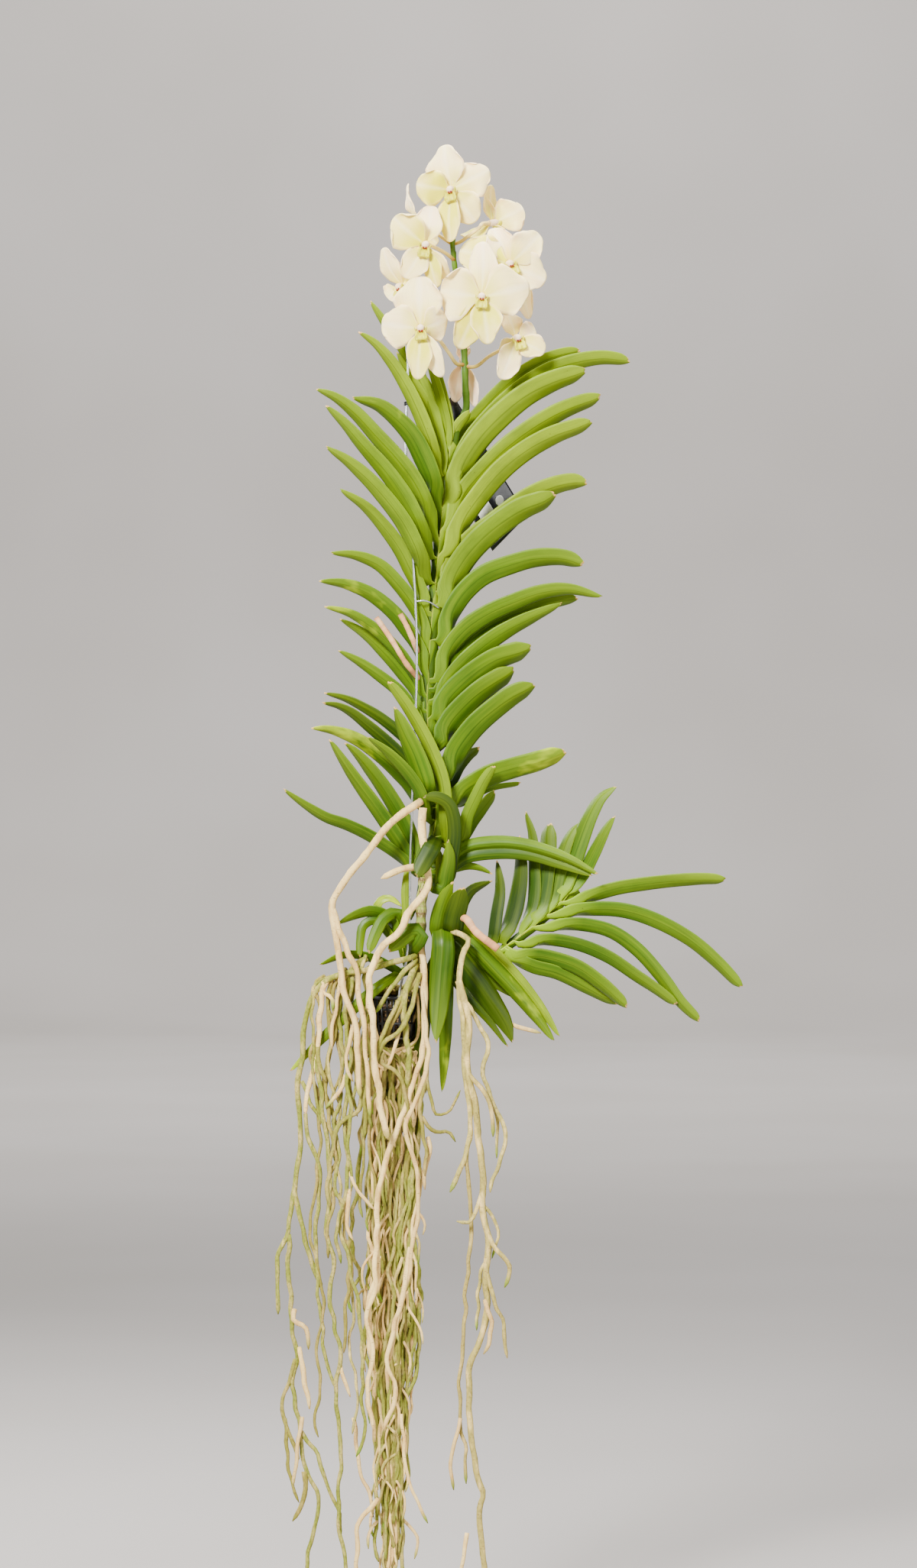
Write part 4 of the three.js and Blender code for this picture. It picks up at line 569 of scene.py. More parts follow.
def join(bm, other):
    """Moves the other mesh into this one, with its layers."""
    carrier = bpy.data.meshes.new("carrier")
    other.to_mesh(carrier)
    other.free()
    bm.from_mesh(carrier)
    bpy.data.meshes.remove(carrier)


def sweep(bm, line, radius_at, sides, rings, look=(0.5, 0, 0, 1), depth=1.0):
    """A closed tube along a line: a ring is extruded from stop to stop, radius and all."""
    tube = blank()
    place, tint = tints(tube)
    heading = line.heading(0)
    side = Vector((1, 0, 0)) if abs(heading.x) < 0.9 else Vector((0, 0, 1))
    ring = bmesh.ops.create_circle(tube, cap_ends=True, segments=sides, radius=1)["verts"]
    edges = tube.edges[:]
    last = Matrix.Identity(4)
    seed = line.points[0].x * 0.37 + line.points[0].z * 0.11
    for k in range(rings + 1):
        share = k / rings
        centre, heading = line.at(share), line.heading(share)
        side = (side - heading * side.dot(heading)).normalized()
        other = heading.cross(side)
        radius = radius_at(share)
        spread = Matrix(((*side * radius, 0), (*other * radius * depth, 0), (*heading, 0),
                         (*centre, 1))).transposed()
        if k:
            grown = bmesh.ops.extrude_edge_only(tube, edges=edges)["geom"]
            ring = [g for g in grown if isinstance(g, bmesh.types.BMVert)]
            edges = [g for g in grown if isinstance(g, bmesh.types.BMEdge)]
        moved = spread @ last.inverted()
        for v in ring:
            v.co = moved @ v.co
            v[place] = (share * line.length * MM, radius * MM, seed, share)
            v[tint] = look(share) if callable(look) else look
        last = spread
    bmesh.ops.contextual_create(tube, geom=edges)
    join(bm, tube)


def sheet(bm, rows, columns, point_at):
    """A grid laid out by point_at(along, across): along 0 to 1, across -1 to 1."""
    place, tint = tints(bm)
    made = bmesh.ops.create_grid(bm, x_segments=columns, y_segments=rows, size=0.5)
    for v in made["verts"]:
        v.co, v[place], v[tint] = point_at(v.co.y + 0.5, 2 * v.co.x)


def piece(name, bm, skin, slot, *nodes, wall=0.0):
    """Makes a finished piece of the mesh: in metres, in place, on the plant's one body."""
    bmesh.ops.scale(bm, vec=(MM, MM, MM), verts=bm.verts)
    bmesh.ops.recalc_face_normals(bm, faces=bm.faces)
    mesh = bpy.data.meshes.new(name)
    bm.to_mesh(mesh)
    bm.free()
    mesh.shade_smooth()
    obj = bpy.data.objects.new(name, mesh)
    bpy.context.scene.collection.objects.link(obj)
    mesh.materials.append(skin)
    if wall:
        thickness = obj.modifiers.new("Thickness", "SOLIDIFY")
        thickness.thickness = wall
        thickness.offset = 0
    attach(obj, "root")
    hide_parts(*nodes)


# ---- leaves -----------------------------------------------------------------------------
# A leaf's seen width along its length, as a share of the width in its row.
LONG_LEAF = [[0, 0.62], [0.1, 0.84], [0.24, 1.02], [0.5, 1.03], [0.78, 0.94], [0.92, 0.78],
             [1, 0.6]]
SHORT_LEAF = [[0, 0.72], [0.14, 0.94], [0.3, 1.06], [0.7, 1.0], [0.9, 0.84], [1, 0.62]]
POINTED_LEAF = [[0, 0.6], [0.15, 0.9], [0.35, 1.08], [0.6, 0.98], [0.78, 0.78], [0.9, 0.5],
                [1, 0.22]]
SHORT_LENGTH = 142
CLASP = 0.26  # the share of a leaf's length over which its folded base opens
SHEATH = 6.4  # the base of a leaf clasps this many stem radii of the stem below it
SHEATH_FOLD = math.radians(84)  # how far each half of a sheath is folded at its foot
FOOT, FOOT_RUN = 0.3, 0.07  # the foot's width in stem radii, and the share it widens over
LEAN, LEAN_RUN = 3, 26  # a leaf leans this far out by so many millimetres past its sheath
SEAM = 0.14  # over this share of the length its inner margin leaves the stem's front
OVERLAP = {1: 1.6, -1: 0.2}  # a right and a left leaf's inner margin passes the front by this
SET_BACK = {1: 0, -1: 1.6}  # and lies this far behind the other's
FOOT_SHADE = {1: 0.2, -1: 0.7}  # how much painted shade deepens a right and a left sheath's tone
KEEL_BEND, OPEN_BEND = 5.5, 2.4  # the radius a folded base bends with, and an open blade's
GATHER = 1.25  # its rows of points stand closer towards the tip
BLUNT = 0.93  # a tip's outline follows an ellipse up to this share of its half length
SWELL, WAVER = 0.025, 0.05  # how much its halves swell and its margins waver, for its width
NOTCH, NOTCH_WIDTH, SHOULDER = 1.4, 0.35, 0.3  # the tip's notch and how its corners round off
DRY_TIP = 8  # this much of its end has dried
LEAF_STEP, LEAF_COLUMNS = 5.6, 10
STEM_REACH = 12  # a stem's heading is taken this far up and down
ALONG_STEM = 0.35  # a leaf clasps the stem if the cosine between their headings is over this


def stem_point(stem, travelled):
    """The point of a stem this far down from its top, or on past its lower end."""
    for a, b in zip(stem, stem[1:]):
        step = (b - a).length
        if travelled <= step:
            return a.lerp(b, travelled / step)
        travelled -= step
    return stem[-1] + (stem[-1] - stem[-2]).normalized() * travelled


def turned(stops, opening, s):
    """An angle that goes from a leaf's base to its open blade and on to its tip."""
    return math.radians(mix(mix(stops[0], stops[1], smooth(opening)), stops[2],
                            smooth((s - 0.5) / 0.5)))


def half_section(out, fold, bend):
    """A folded blade's section: it bends away from the keel, then runs straight to its margin."""
    turn = fold * min(1, out / bend)
    straight = max(0, out - bend)
    return (bend / fold * math.sin(turn) + straight * math.cos(fold),
            bend / fold * (1 - math.cos(turn)) + straight * math.sin(fold))


def leaf(bm, row, stem, stem_radius, draw, tone, age, sheathed):
    """One strap leaf: folded round the stem at its base, open beyond it, with a blunt,
    slightly notched tip."""
    path, tip_y, width, form = row
    hand = form.get("hand", 1)
    root, down = nearest(stem, *path[0])
    points = [Vector((x, 0, z)) for x, z in path]
    if math.hypot(root.x - points[0].x, root.z - points[0].z) > STEM_RADIUS / 3:
        points.insert(0, Vector((root.x, 0, root.z)))
    line = Line(points)
    clasp = SHEATH * stem_radius if sheathed else 0
    below = Line([stem_point(stem, down + clasp), stem_point(stem, down + clasp / 2),
                  root]) if clasp else None
    total = clasp + line.length
    stations = POINTED_LEAF if form.get("pointed") else (
        SHORT_LEAF if line.length < SHORT_LENGTH else LONG_LEAF)
    rounded = clamp(0.75 * width / line.length, 0.05, 0.3)
    seed = draw.random() * 40
    age += 0.1 * draw.random()
    waves, phase = draw.uniform(0.6, 1), draw.uniform(-5, 5)
    lobe = draw.uniform(0.6, 1.6) * draw.choice((-1, 1))

    def point_at(along, across):
        far = (1 - (1 - along) ** GATHER) * total
        s = (far - clasp) / line.length
        if s < 0:
            centre, heading = below.at(far / clasp), below.heading(far / clasp)
            depth, opening = root.y, 0.0
        else:
            centre, heading = line.at(s), line.heading(s)
            opening = clamp(s / CLASP)
            depth = mix(root.y, STEM_Y + form.get("base_y", 0), smooth(opening)) + tip_y * s**1.3
        if clasp:
            depth -= LEAN * smooth(far / (clasp + LEAN_RUN))
        heading.y = 0
        heading.normalize()
        held = clamp(far / clasp) if clasp else 1.0
        inner = Vector((-heading.z, 0, heading.x)) * hand
        roll = turned(form.get("roll", ROLL), opening, s) * held
        fold = mix(SHEATH_FOLD, turned(form.get("fold", FOLD), opening, s), held)
        seen = width * along_table(stations, max(0, s))
        end = clamp((s - 1 + rounded) / rounded)
        seen *= math.sqrt(1 - (BLUNT * end) ** 2)
        reach = seen / (math.sin(fold + roll) - min(0, math.sin(fold - roll)))
        if clasp and s < 0.1:
            reach = mix(FOOT * stem_radius, reach, clamp(far / (clasp + FOOT_RUN * total)))
        bend = mix(KEEL_BEND, OPEN_BEND, smooth(opening * 1.5)) * fold
        # centres the seen width on the line, or sets its inner margin on the stem's front
        away, rise = half_section(reach, fold, bend)
        top = rise * math.cos(roll) + away * math.sin(roll)
        bottom = min(0, rise * math.cos(roll) - away * math.sin(roll))
        middle = -(top + bottom) / 2
        if clasp:
            seam = 1 - smooth(s / SEAM)
            middle -= seam * ((top - bottom) / 2 - OVERLAP[hand])
            depth += SET_BACK[hand] * seam
        centre = Vector((centre.x, depth, centre.z)) + inner * middle
        face = inner * math.cos(roll) + Vector((0, math.sin(roll), 0))
        side = -inner * math.sin(roll) + Vector((0, math.cos(roll), 0))
        sign = 1 if across > 0 else -1
        away, rise = half_section(abs(across) * reach, fold, bend)
        swell = SWELL * reach * math.sin(math.pi * abs(across)) * smooth(opening)
        waver = WAVER * reach * abs(across)**3 * smooth(s * 3) * waves * math.sin(
            9 * s + phase + (2.2 if sign > 0 else 0))
        point = centre + side * sign * away + face * (rise - swell + waver)
        notch = NOTCH * math.exp(-(across / NOTCH_WIDTH) ** 2)
        point += heading * end**2 * (lobe * across - notch - SHOULDER * reach * across**4)
        left = (1 - s) * line.length
        place = (far * MM, across * reach * MM, seed, s)
        # a sheath's tone is deepened by painted shade
        deep = clamp(tone + FOOT_SHADE[hand] * (1 - smooth(s * 8 + 1)))
        return point, place, (deep, age, clamp(1 - left / DRY_TIP), abs(across))

    sheet(bm, max(14, round(total / LEAF_STEP)), LEAF_COLUMNS, point_at)


def shoot(bm, stem_row, stem_radius, leaf_rows, seed, age, tones):
    """A leafy stem, given from its tip down, and its leaves, which deepen down the stem."""
    stem = [p + Vector((0, STEM_Y, 0)) for p in route(stem_row)]
    draw = Random(seed)
    line = Line(stem)
    # the stem's deep tone, 0.85, is painted shade: it shows as a dark gap between the sheaths
    sweep(bm, line, lambda s: stem_radius * (1 + 0.04 * math.sin(line.length * s / 3)), 14,
          max(8, round(line.length / 6)), look=(0.85, 0.1, 0, 0.6), depth=0.5)
    for row in leaf_rows:
        (x, z), (next_x, next_z) = row[0][:2]
        down = nearest(stem, x, z)[1]
        up = stem_point(stem, max(0, down - STEM_REACH)) - stem_point(stem, down + STEM_REACH)
        start = Vector((next_x - x, 0, next_z - z)).normalized()
        tone = row[3].get("tone", mix(*tones, down / line.length)) + draw.uniform(-0.1, 0.1)
        leaf(bm, row, stem, stem_radius, draw, clamp(tone), age + row[3].get("age", 0),
             start.dot(up.normalized()) > ALONG_STEM)


# ---- blooms -----------------------------------------------------------------------------
TEPAL_OUTLINE = [[0, 0.2], [0.1, 0.4], [0.25, 0.84], [0.42, 1.1], [0.65, 1.2], [0.85, 1.1],
                 [1, 0.86]]
CLAW, CLAW_WIDTH = 3.2, 1.7  # a tepal starts this far out, this much wide on either side
PETAL_AHEAD = 3  # the petals stand this far in front of the sepals
CORNER = 0.76  # the share of its length at which a tepal's corners lie
ARCH = 0.1  # how far a tepal arches, as a share of its length
MIDRIB, MIDRIB_WIDTH = 0.9, 0.07  # the groove along its middle
COLUMN_BACK = 3  # the column starts this far behind the bloom's centre
COLUMN_GIRTH = [[0, 3.2], [0.3, 3.4], [0.7, 3.6], [0.9, 3], [1, 1]]


def bloom_frame(row):
    """A bloom's centre, the way it faces, its up and its side."""
    centre, facing = Vector(row[0]), Vector(row[1]).normalized()
    tip_x, tip_z, beyond = row[2][0][:3]
    up = Vector((tip_x, centre.y + beyond, tip_z)) - centre
    up = (up - facing * up.dot(facing)).normalized()
    return centre, facing, up, up.cross(facing)


def tepal(bm, centre, facing, row, is_petal, draw):
    """A sepal or petal: a narrow claw, a broad round blade and a wavy margin."""
    tip_x, tip_z, beyond, width, turn, yellow = row
    tip = Vector((tip_x, centre.y + beyond, tip_z))
    root = centre + (tip - centre).normalized() * CLAW + facing * (PETAL_AHEAD if is_petal else 0)
    heading = (tip - root).normalized()
    side = facing.cross(heading).normalized()
    side = Matrix.Rotation(math.radians(turn), 3, heading) @ side
    face = heading.cross(side).normalized()
    length = (tip - root).length
    seed, yellow = draw.random() * 40, clamp(yellow + draw.uniform(-0.1, 0.1))
    phase, bumps = draw.uniform(0, 6.3), draw.uniform(1.1, 1.9)
    ruffle = width * draw.uniform(0.05, 0.09)
    cup = width * draw.uniform(-0.1, 0.16)
    peak = draw.uniform(0, 0.3)
    lean = draw.uniform(-0.06, 0.06) * width

    def point_at(along, across):
        s = along * (CORNER + (1 - CORNER) * math.sqrt(max(0, 1 - across * across)))
        half = max(CLAW_WIDTH, width / 2 * along_table(TEPAL_OUTLINE, along))
        half *= 1 + 0.08 * math.sin(phase + 4 * along) * (1 if across > 0 else -1)
        half *= 1 - peak * smooth((along - 0.66) / 0.34)
        rise = ARCH * length * math.sin(math.pi * s)
        rise += cup * across * across * smooth(along * 1.6)
        rise += ruffle * abs(across) ** 2.2 * smooth(along * 2) * math.sin(
            2 * math.pi * bumps * along + phase + (1.9 if across > 0 else 0))
        rise += 0.25 * ruffle * smooth((along - 0.75) / 0.25) * math.sin(5 * across + phase)
        rise -= MIDRIB * math.exp(-(across / MIDRIB_WIDTH) ** 2) * smooth(along * 3) * (1 - along)
        point = (root + heading * length * s + side * (half * across + lean * along * along)
                 + face * rise)
        place = (s * length * MM, across * 0.01, seed, s)
        return point, place, (yellow, 1 - s, abs(across), 0.1 if is_petal else 0.2)

    sheet(bm, 20, 16, point_at)


def bloom(bm, row, seed):
    """Three sepals behind and two petals in front."""
    draw = Random(seed)
    centre, facing = bloom_frame(row)[:2]
    for i, tepal_row in enumerate(row[2]):
        tepal(bm, centre, facing, tepal_row, i in PETALS, draw)


def column(bm, row):
    """The column, its blunt anther cap, and the dark specks under the cap."""
    centre, facing, up, side = bloom_frame(row)
    line = Line([centre - facing * COLUMN_BACK, centre + facing * 3 + up * 0.6,
                 centre + facing * 7 + up * 0.4, centre + facing * 9.5 - up * 0.6])
    sweep(bm, line, lambda s: along_table(COLUMN_GIRTH, s), 14, 14, look=(0.5, 0, 0.2, 0.5))
    for hand in (-1, 1):
        speck = centre + facing * 9.2 - up * 2.4 + side * hand * 1.3
        line = Line([speck + up * 0.9, speck, speck - up * 0.9])
        sweep(bm, line, lambda s: 0.65 - 1.2 * (s - 0.5)**2, 6, 4, look=(0.5, 0, 0, 0.9))


# Each section of the lip: how far forward, how far down, half its width, how high its sides
# rise and the tilt of its inner face.
LIP = [[4, -3.2, 2.6, 2.8, -25], [6.6, -4.8, 3.8, 3, 5], [9, -6.4, 5.6, 2.6, 34],
       [10.8, -8.6, 6.6, 1.4, 58], [11.2, -10.8, 6.2, 0.4, 78], [10.6, -12.8, 5.6, -1.2, 100]]
RIDGE, FRILL, CLEFT = 0.9, 0.8, 1.2  # the height of its ridges and frills, the depth of its notch


def lip(bm, row, seed):
    """The lip: a throat with two upright side lobes, a broad frilled middle lobe and a spur."""
    centre, facing, up, side = bloom_frame(row)
    draw = Random(seed)
    tone, shade = draw.random(), draw.random() * 30
    frills = draw.uniform(5, 7)

    def point_at(along, across):
        place = along * (len(LIP) - 1)
        k = min(len(LIP) - 2, int(place))
        forward, drop, half, rise, tilt = (mix(a, b, place - k) for a, b in zip(LIP[k], LIP[k + 1]))
        tilted = Matrix.Rotation(math.radians(tilt), 3, side)
        face, ahead = tilted @ up, tilted @ facing
        ridge = RIDGE * max(0, math.cos(2.5 * math.pi * across)) * smooth(along * 3)
        frill = FRILL * smooth(along * 2 - 0.6) * abs(across) ** 2 * math.sin(
            frills * along * 3 + across)
        notch = smooth((along - 0.85) / 0.15) * (1 - abs(across) ** 1.5)
        out = across * half * (1 - 0.3 * smooth((along - 0.88) / 0.12) * abs(across) ** 4)
        point = centre + facing * forward + up * drop + side * out
        point += face * (rise * across * across + ridge + frill) - ahead * CLEFT * notch
        look = (tone, 1 - along, abs(across), 0)
        return point, (along * 0.02, across * 0.01, shade, along), look

    sheet(bm, 18, 16, point_at)
    for hand in (-1, 1):
        def ear_at(along, across):
            forward = 6 + 3.4 * across * (1 - 0.35 * along) + 1.2 * along
            height = -4.4 + 6.4 * along * (1 - 0.3 * across * across)
            out = hand * (3.8 + 2.6 * math.sin(math.pi * along * 0.6) - 0.9 * across * across)
            point = centre + facing * forward + up * height + side * out
            look = (tone, 0.3, abs(across), 0.15)
            return point, (along * 0.01, across * 0.01, shade, 0.2), look

        sheet(bm, 8, 8, ear_at)
    spur = Line([centre + facing * 6 - up * 4.4, centre + facing * 2 - up * 7,
                 centre - facing * 3 - up * 9.5])
    sweep(bm, spur, lambda s: mix(2.2, 0.9, s), 8, 8, look=(tone, 0.4, 0.3, 0))


# ---- flower stalk -----------------------------------------------------------------------
STALK_GIRTH = (4, 2.5)  # the stalk's radius at its foot and at its end
STALK_JOINTS = [i / 11 + 0.02 for i in range(12)]  # where it is a little thicker
PEDICEL_GIRTH = [[0, 2.5], [0.06, 2.0], [0.5, 1.8], [0.85, 2.1], [0.97, 2.7], [1, 2.4]]
PEDICEL_BEND = 12  # a pedicel turns to its bloom this far behind it
BRACT = ((0, 0, 0), (1.5, 0.5, 5), (2.2, 0.6, 9))  # a bract's points from the pedicel's foot


def flower_stalk(bm):
    """The stalk, its pedicels, and a small bract where each of them leaves it."""
    spine = Line(route(STALK_PATH))

    def girth(s):
        near = min(abs(s - joint) for joint in STALK_JOINTS) * spine.length
        return mix(*STALK_GIRTH, s) * (1 + 0.12 * math.exp(-(near / 2.5) ** 2))

    def pedicel_girth(s):
        return along_table(PEDICEL_GIRTH, s) * (1 + 0.08 * math.exp(-((s - 0.5) * 20) ** 2))

    sweep(bm, spine, girth, 12, 90, look=lambda s: (0.5, 0, s, 0.1))
    for k, start in PEDICELS:
        centre, facing = bloom_frame(BLOOMS[k])[:2]
        points = [*route(start), centre - facing * PEDICEL_BEND,
                  centre - facing * (COLUMN_BACK + 0.35)]
        sweep(bm, Line(points), pedicel_girth, 10, 30, look=lambda s: (0.5, 1, s, 0.8))
        bract = Line([points[0] + Vector(rise) for rise in BRACT])
        sweep(bm, bract, lambda s: mix(2.6, 0.4, s), 8, 6, look=(0.3, 0.3, 0, 0.4), depth=0.5)


# ---- roots ------------------------------------------------------------------------------
KINK = 13  # a root changes its way about every so many millimetres
SWING, STIFF_SWING, STIFF = 1.7, 1.1, 2.8  # by up to so much, or less from this radius on
SWAY_BACK = 0.6  # a root swings this much less to the back than across
ROOM = 1.3  # a root keeps this many radii away from the edges of the model's room
LEFT_EDGE, BACK_EDGE = -144.8, 54
ROOT_STEP = 6
ROUND_ROOT = 2.3  # a root thicker than this has nine sides, not seven
GREEN_TIP, FADE = 16, 8  # how long a green tip is, and how much of that it fades over
BLUNT_END = 1.6  # a root's end rounds off over this many radii
GOLDEN = 0.618  # spreads roots evenly, but not in a row
DRAWN_IN, DRAW_RUN = -1000, 260  # the bundle draws together from this height, over this length
BUNDLE_X, BUNDLE_Y, DRAWN_X = -24, 20, -26  # the line it hangs round, and draws in to


def kinked(line, draw, swing):
    """The line's points, with small kinks of up to swing millimetres put in."""
    count = max(3, round(line.length / KINK))
    points = [line.at(k / count) for k in range(count + 1)]
    for point in points[1:-1]:
        point += Vector((draw.uniform(-swing, swing), SWAY_BACK * draw.uniform(-swing, swing), 0))
    return points


def root(bm, radius, path, draw, green=0.0, tip=0.0):
    """One aerial root: its girth wavers, and its end is blunt and now and then green."""
    points = kinked(Line(route(path)), draw, SWING if radius < STIFF else STIFF_SWING)
    line = Line([Vector((max(p.x, LEFT_EDGE + ROOM * radius), min(p.y, BACK_EDGE - ROOM * radius),
                         p.z)) for p in points])
    seed = draw.random() * 90
    tone = draw.random()

    def radius_at(s):
        far = s * line.length
        left = line.length - far
        waver = 1 + 0.2 * noise.noise(Vector((far / 16, seed, 0))) \
            + 0.12 * noise.noise(Vector((far / 5, seed, 3)))
        blunt = math.sqrt(clamp((left + 0.25) / (BLUNT_END * radius)))
        return radius * mix(1.08, 0.86, s) * waver * blunt

    def look(s):
        left = line.length * (1 - s)
        return (tone, green, tip * smooth((GREEN_TIP - left) / FADE), 0)

    sweep(bm, line, radius_at, 9 if radius > ROUND_ROOT else 7,
          max(6, round(line.length / ROOT_STEP)), look=look)


def branches(path, draw, chance):
    """Short side roots that leave a root at its joints and bend down."""
    rows = []
    for a in path[2:-1]:
        if draw.random() < chance and a[1] > ROOT_END + 80:
            way = draw.choice((-1, 1)) * draw.uniform(6, 16)
            away = draw.uniform(-8, 4)
            drop = draw.uniform(22, 48)
            rows.append([a] + [[a[0] + way * out, a[1] - drop * down, a[2] + away]
                               for out, down in ((0.7, 0.35), (1, 0.75), (0.8, 1.2))])
    return rows


def wander(path, draw, end, middle_x, middle_y, spread, pull):
    """Lets a root's path wander on down to its end, round an upright line."""
    x, z, y = path[-1]
    while z > end:
        z -= draw.uniform(18, 38)
        x += pull * (middle_x - x) + draw.uniform(-spread, spread)
        y += pull * (middle_y - y) + SWAY_BACK * draw.uniform(-spread, spread)
        path.append([x, max(z, ROOT_END + 1), y])


def bundle(draw, count):
    """The bundle below the basket: roots leave the crown, arch over the rim and hang down.
    None hangs over the basket's front."""
    x, y, top, foot = BASKET["x"], BASKET["y"], BASKET["top"], BASKET["top"] - BASKET["height"]
    rows = []
    for k in range(count):
        turn = math.radians(mix(-22, 205, (k * GOLDEN) % 1))
        over = BASKET["rim"] + draw.uniform(1.5, 5)
        crown = top + draw.uniform(6, 10)
        path = [[x + out * math.cos(turn), z, y + out * math.sin(turn)] for out, z in (
            (14, crown), (over - 1, top + 3), (over, top - 16), (over - 1.5, foot))]
        inward = draw.uniform(-22, 22)
        path.append([x + inward, foot - draw.uniform(16, 30), y + draw.uniform(-20, 12)])
        end = mix(-880, ROOT_END + 2, draw.random() ** 0.36)
        wander(path, draw, end, BUNDLE_X + 0.7 * inward, BUNDLE_Y, 7.5, 0.16)
        for point in path[4:]:
            close = smooth((DRAWN_IN - point[1]) / DRAW_RUN)
            point[0] = mix(point[0], DRAWN_X, 0.45 * close)
            point[2] = mix(point[2], y, 0.3 * close)
        rows.append([draw.uniform(1.4, 2.5), path])
    return rows


def curtain(draw, count):
    """Thin roots that hang from the arching root on the left and cross one another."""
    rows = []
    for k in range(count):
        x = mix(-104, -40, (k * GOLDEN) % 1)
        high = -676 - 0.4 * abs(x + 50) - draw.uniform(0, 16)
        path = [[x + draw.uniform(4, 22), high, 4], [x + draw.uniform(-4, 8), high - 9, -4],
                [x, high - 30, draw.uniform(-12, 2)]]
        wander(path, draw, mix(-820, -1180, draw.random()), x, -4, 8, 0.1)
        rows.append([draw.uniform(1.6, 2.4), path])
    return rows


# ---- hanger, card and basket ------------------------------------------------------------
RING_RADIUS, TIE_RADIUS, COIL_RADIUS = 0.9, 0.9, 0.8  # how thick the ring and the tie are
COIL_X, COIL_Z, COIL_REACH, COIL_RISE = -6.1, -104.5, 2.6, 0.1  # the tie's coil on the wire
COIL_TURN, COIL_STEPS = 0.3, 43
HOOK_TURN, HOOK_STEPS = 200, 18  # the hook's bend, in degrees
WIRE_END_X = -14  # where the wire's lower end turns round the basket's rim,
WIRE_END = [(-2, 2), (-2, -6), (1, -9), (4.4, -8), (4.8, -3)]  # behind and above its front
HOOP_SHARES, FLOOR_RINGS = (0.3, 0.62, 0.96), (7, 13)  # how far down, and the radii


def hanger_line():
    """The hanger: an open hook, the long wire, and its turned end in the basket's rim."""
    bend = HOOK_RADIUS + 1.2
    hook = []
    for k in range(HOOK_STEPS + 1):
        turn = math.radians(HOOK_TURN * k / HOOK_STEPS)
        hook.append(Vector((bend * math.cos(turn), 0, -HOOK_RADIUS + bend * math.sin(turn))))
    front = BASKET["y"] - math.sqrt(BASKET["rim"] ** 2 - (WIRE_END_X - BASKET["x"]) ** 2)
    lower = [Vector((WIRE_END_X, front + y, BASKET["top"] + z)) for y, z in WIRE_END]
    return Line([*hook, *route(WIRE_PATH), *lower])


CARD_TOP = Vector((24, 37, -108))
CARD_ALONG = Vector((79, 4, -129)).normalized()
CARD_ACROSS = Vector((-36, 0, -37)).normalized()
CARD_FACE = CARD_ACROSS.cross(CARD_ALONG).normalized()
CARD_LENGTH, CARD_WIDTH, CARD_FOLD = 150, 52, 14
CREASE = 3  # the radius its fold bends with
CARD_BOW = 0.8
# A sticker's piece and part, how far down and across its centre lies, half its height and
# width, and whether it is round.
STICKERS = [("sticker_square", "label_sticker", 112.5, 10.5, 10.5, 8.5, False),
            ("sticker_round", "round_sticker", 117, -9, 5, 5, True)]
STICKER_LIFT, STICKER_WALL = 0.95, 0.0002


def card_point(down, across, lift=0.0):
    """A point of the folded card: down its length, across it from its fold, off its face."""
    bow = CARD_BOW * math.sin(math.pi * down / CARD_LENGTH)
    bent = math.hypot(across, CREASE) - CREASE
    return CARD_TOP + CARD_ALONG * down + CARD_ACROSS * across + CARD_FACE * (
        bow + lift - CARD_FOLD / CARD_WIDTH * bent)


def hoop(bm, centre, radius, thick, tall):
    """A flat round ring: a rounded bar, spun full circle."""
    made = bmesh.ops.create_circle(bm, cap_ends=False, segments=8, radius=1)
    placed = Matrix.Translation(centre + Vector((radius, 0, 0))) @ Matrix.Rotation(
        math.radians(90), 4, "X") @ Matrix.Diagonal((thick, tall, 1, 1))
    bmesh.ops.transform(bm, matrix=placed, verts=made["verts"])
    edges = list({e for v in made["verts"] for e in v.link_edges})
    bmesh.ops.spin(bm, geom=made["verts"] + edges, cent=centre, axis=(0, 0, 1),
                   angle=2 * math.pi, steps=64, use_merge=True)


def net_basket(bm):
    """The net basket: rim, hoops, ribs and a ringed floor."""
    high, rim, foot = BASKET["height"], BASKET["rim"], BASKET["foot"]
    centre = Vector((BASKET["x"], BASKET["y"], BASKET["top"]))
    hoops = [(1.6, rim - 1.2, 1.2, 1.6)]
    hoops += [(high * share, mix(rim - 2, foot, share) - 0.6, 0.8, 1.2) for share in HOOP_SHARES]
    hoops += [(high - 1.2, radius, 1.1, 0.8) for radius in FLOOR_RINGS]
    for down, radius, thick, tall in hoops:
        hoop(bm, centre - Vector((0, 0, down)), radius, thick, tall)
    for k in range(BASKET["ribs"]):
        turn = 2 * math.pi * k / BASKET["ribs"]
        out = Vector((math.cos(turn), math.sin(turn), 0))
        upper = centre + out * (rim - 2.4) - Vector((0, 0, 2))
        lower = centre + out * (foot - 0.8) - Vector((0, 0, high - 1))
        sweep(bm, Line([upper, lower]), lambda s: 1.3, 6, 2, depth=0.6)
        if k % 2 == 0:
            inner = centre + out * 6 - Vector((0, 0, high - 1))
            sweep(bm, Line([lower, inner]), lambda s: 1.1, 6, 2, depth=0.6)


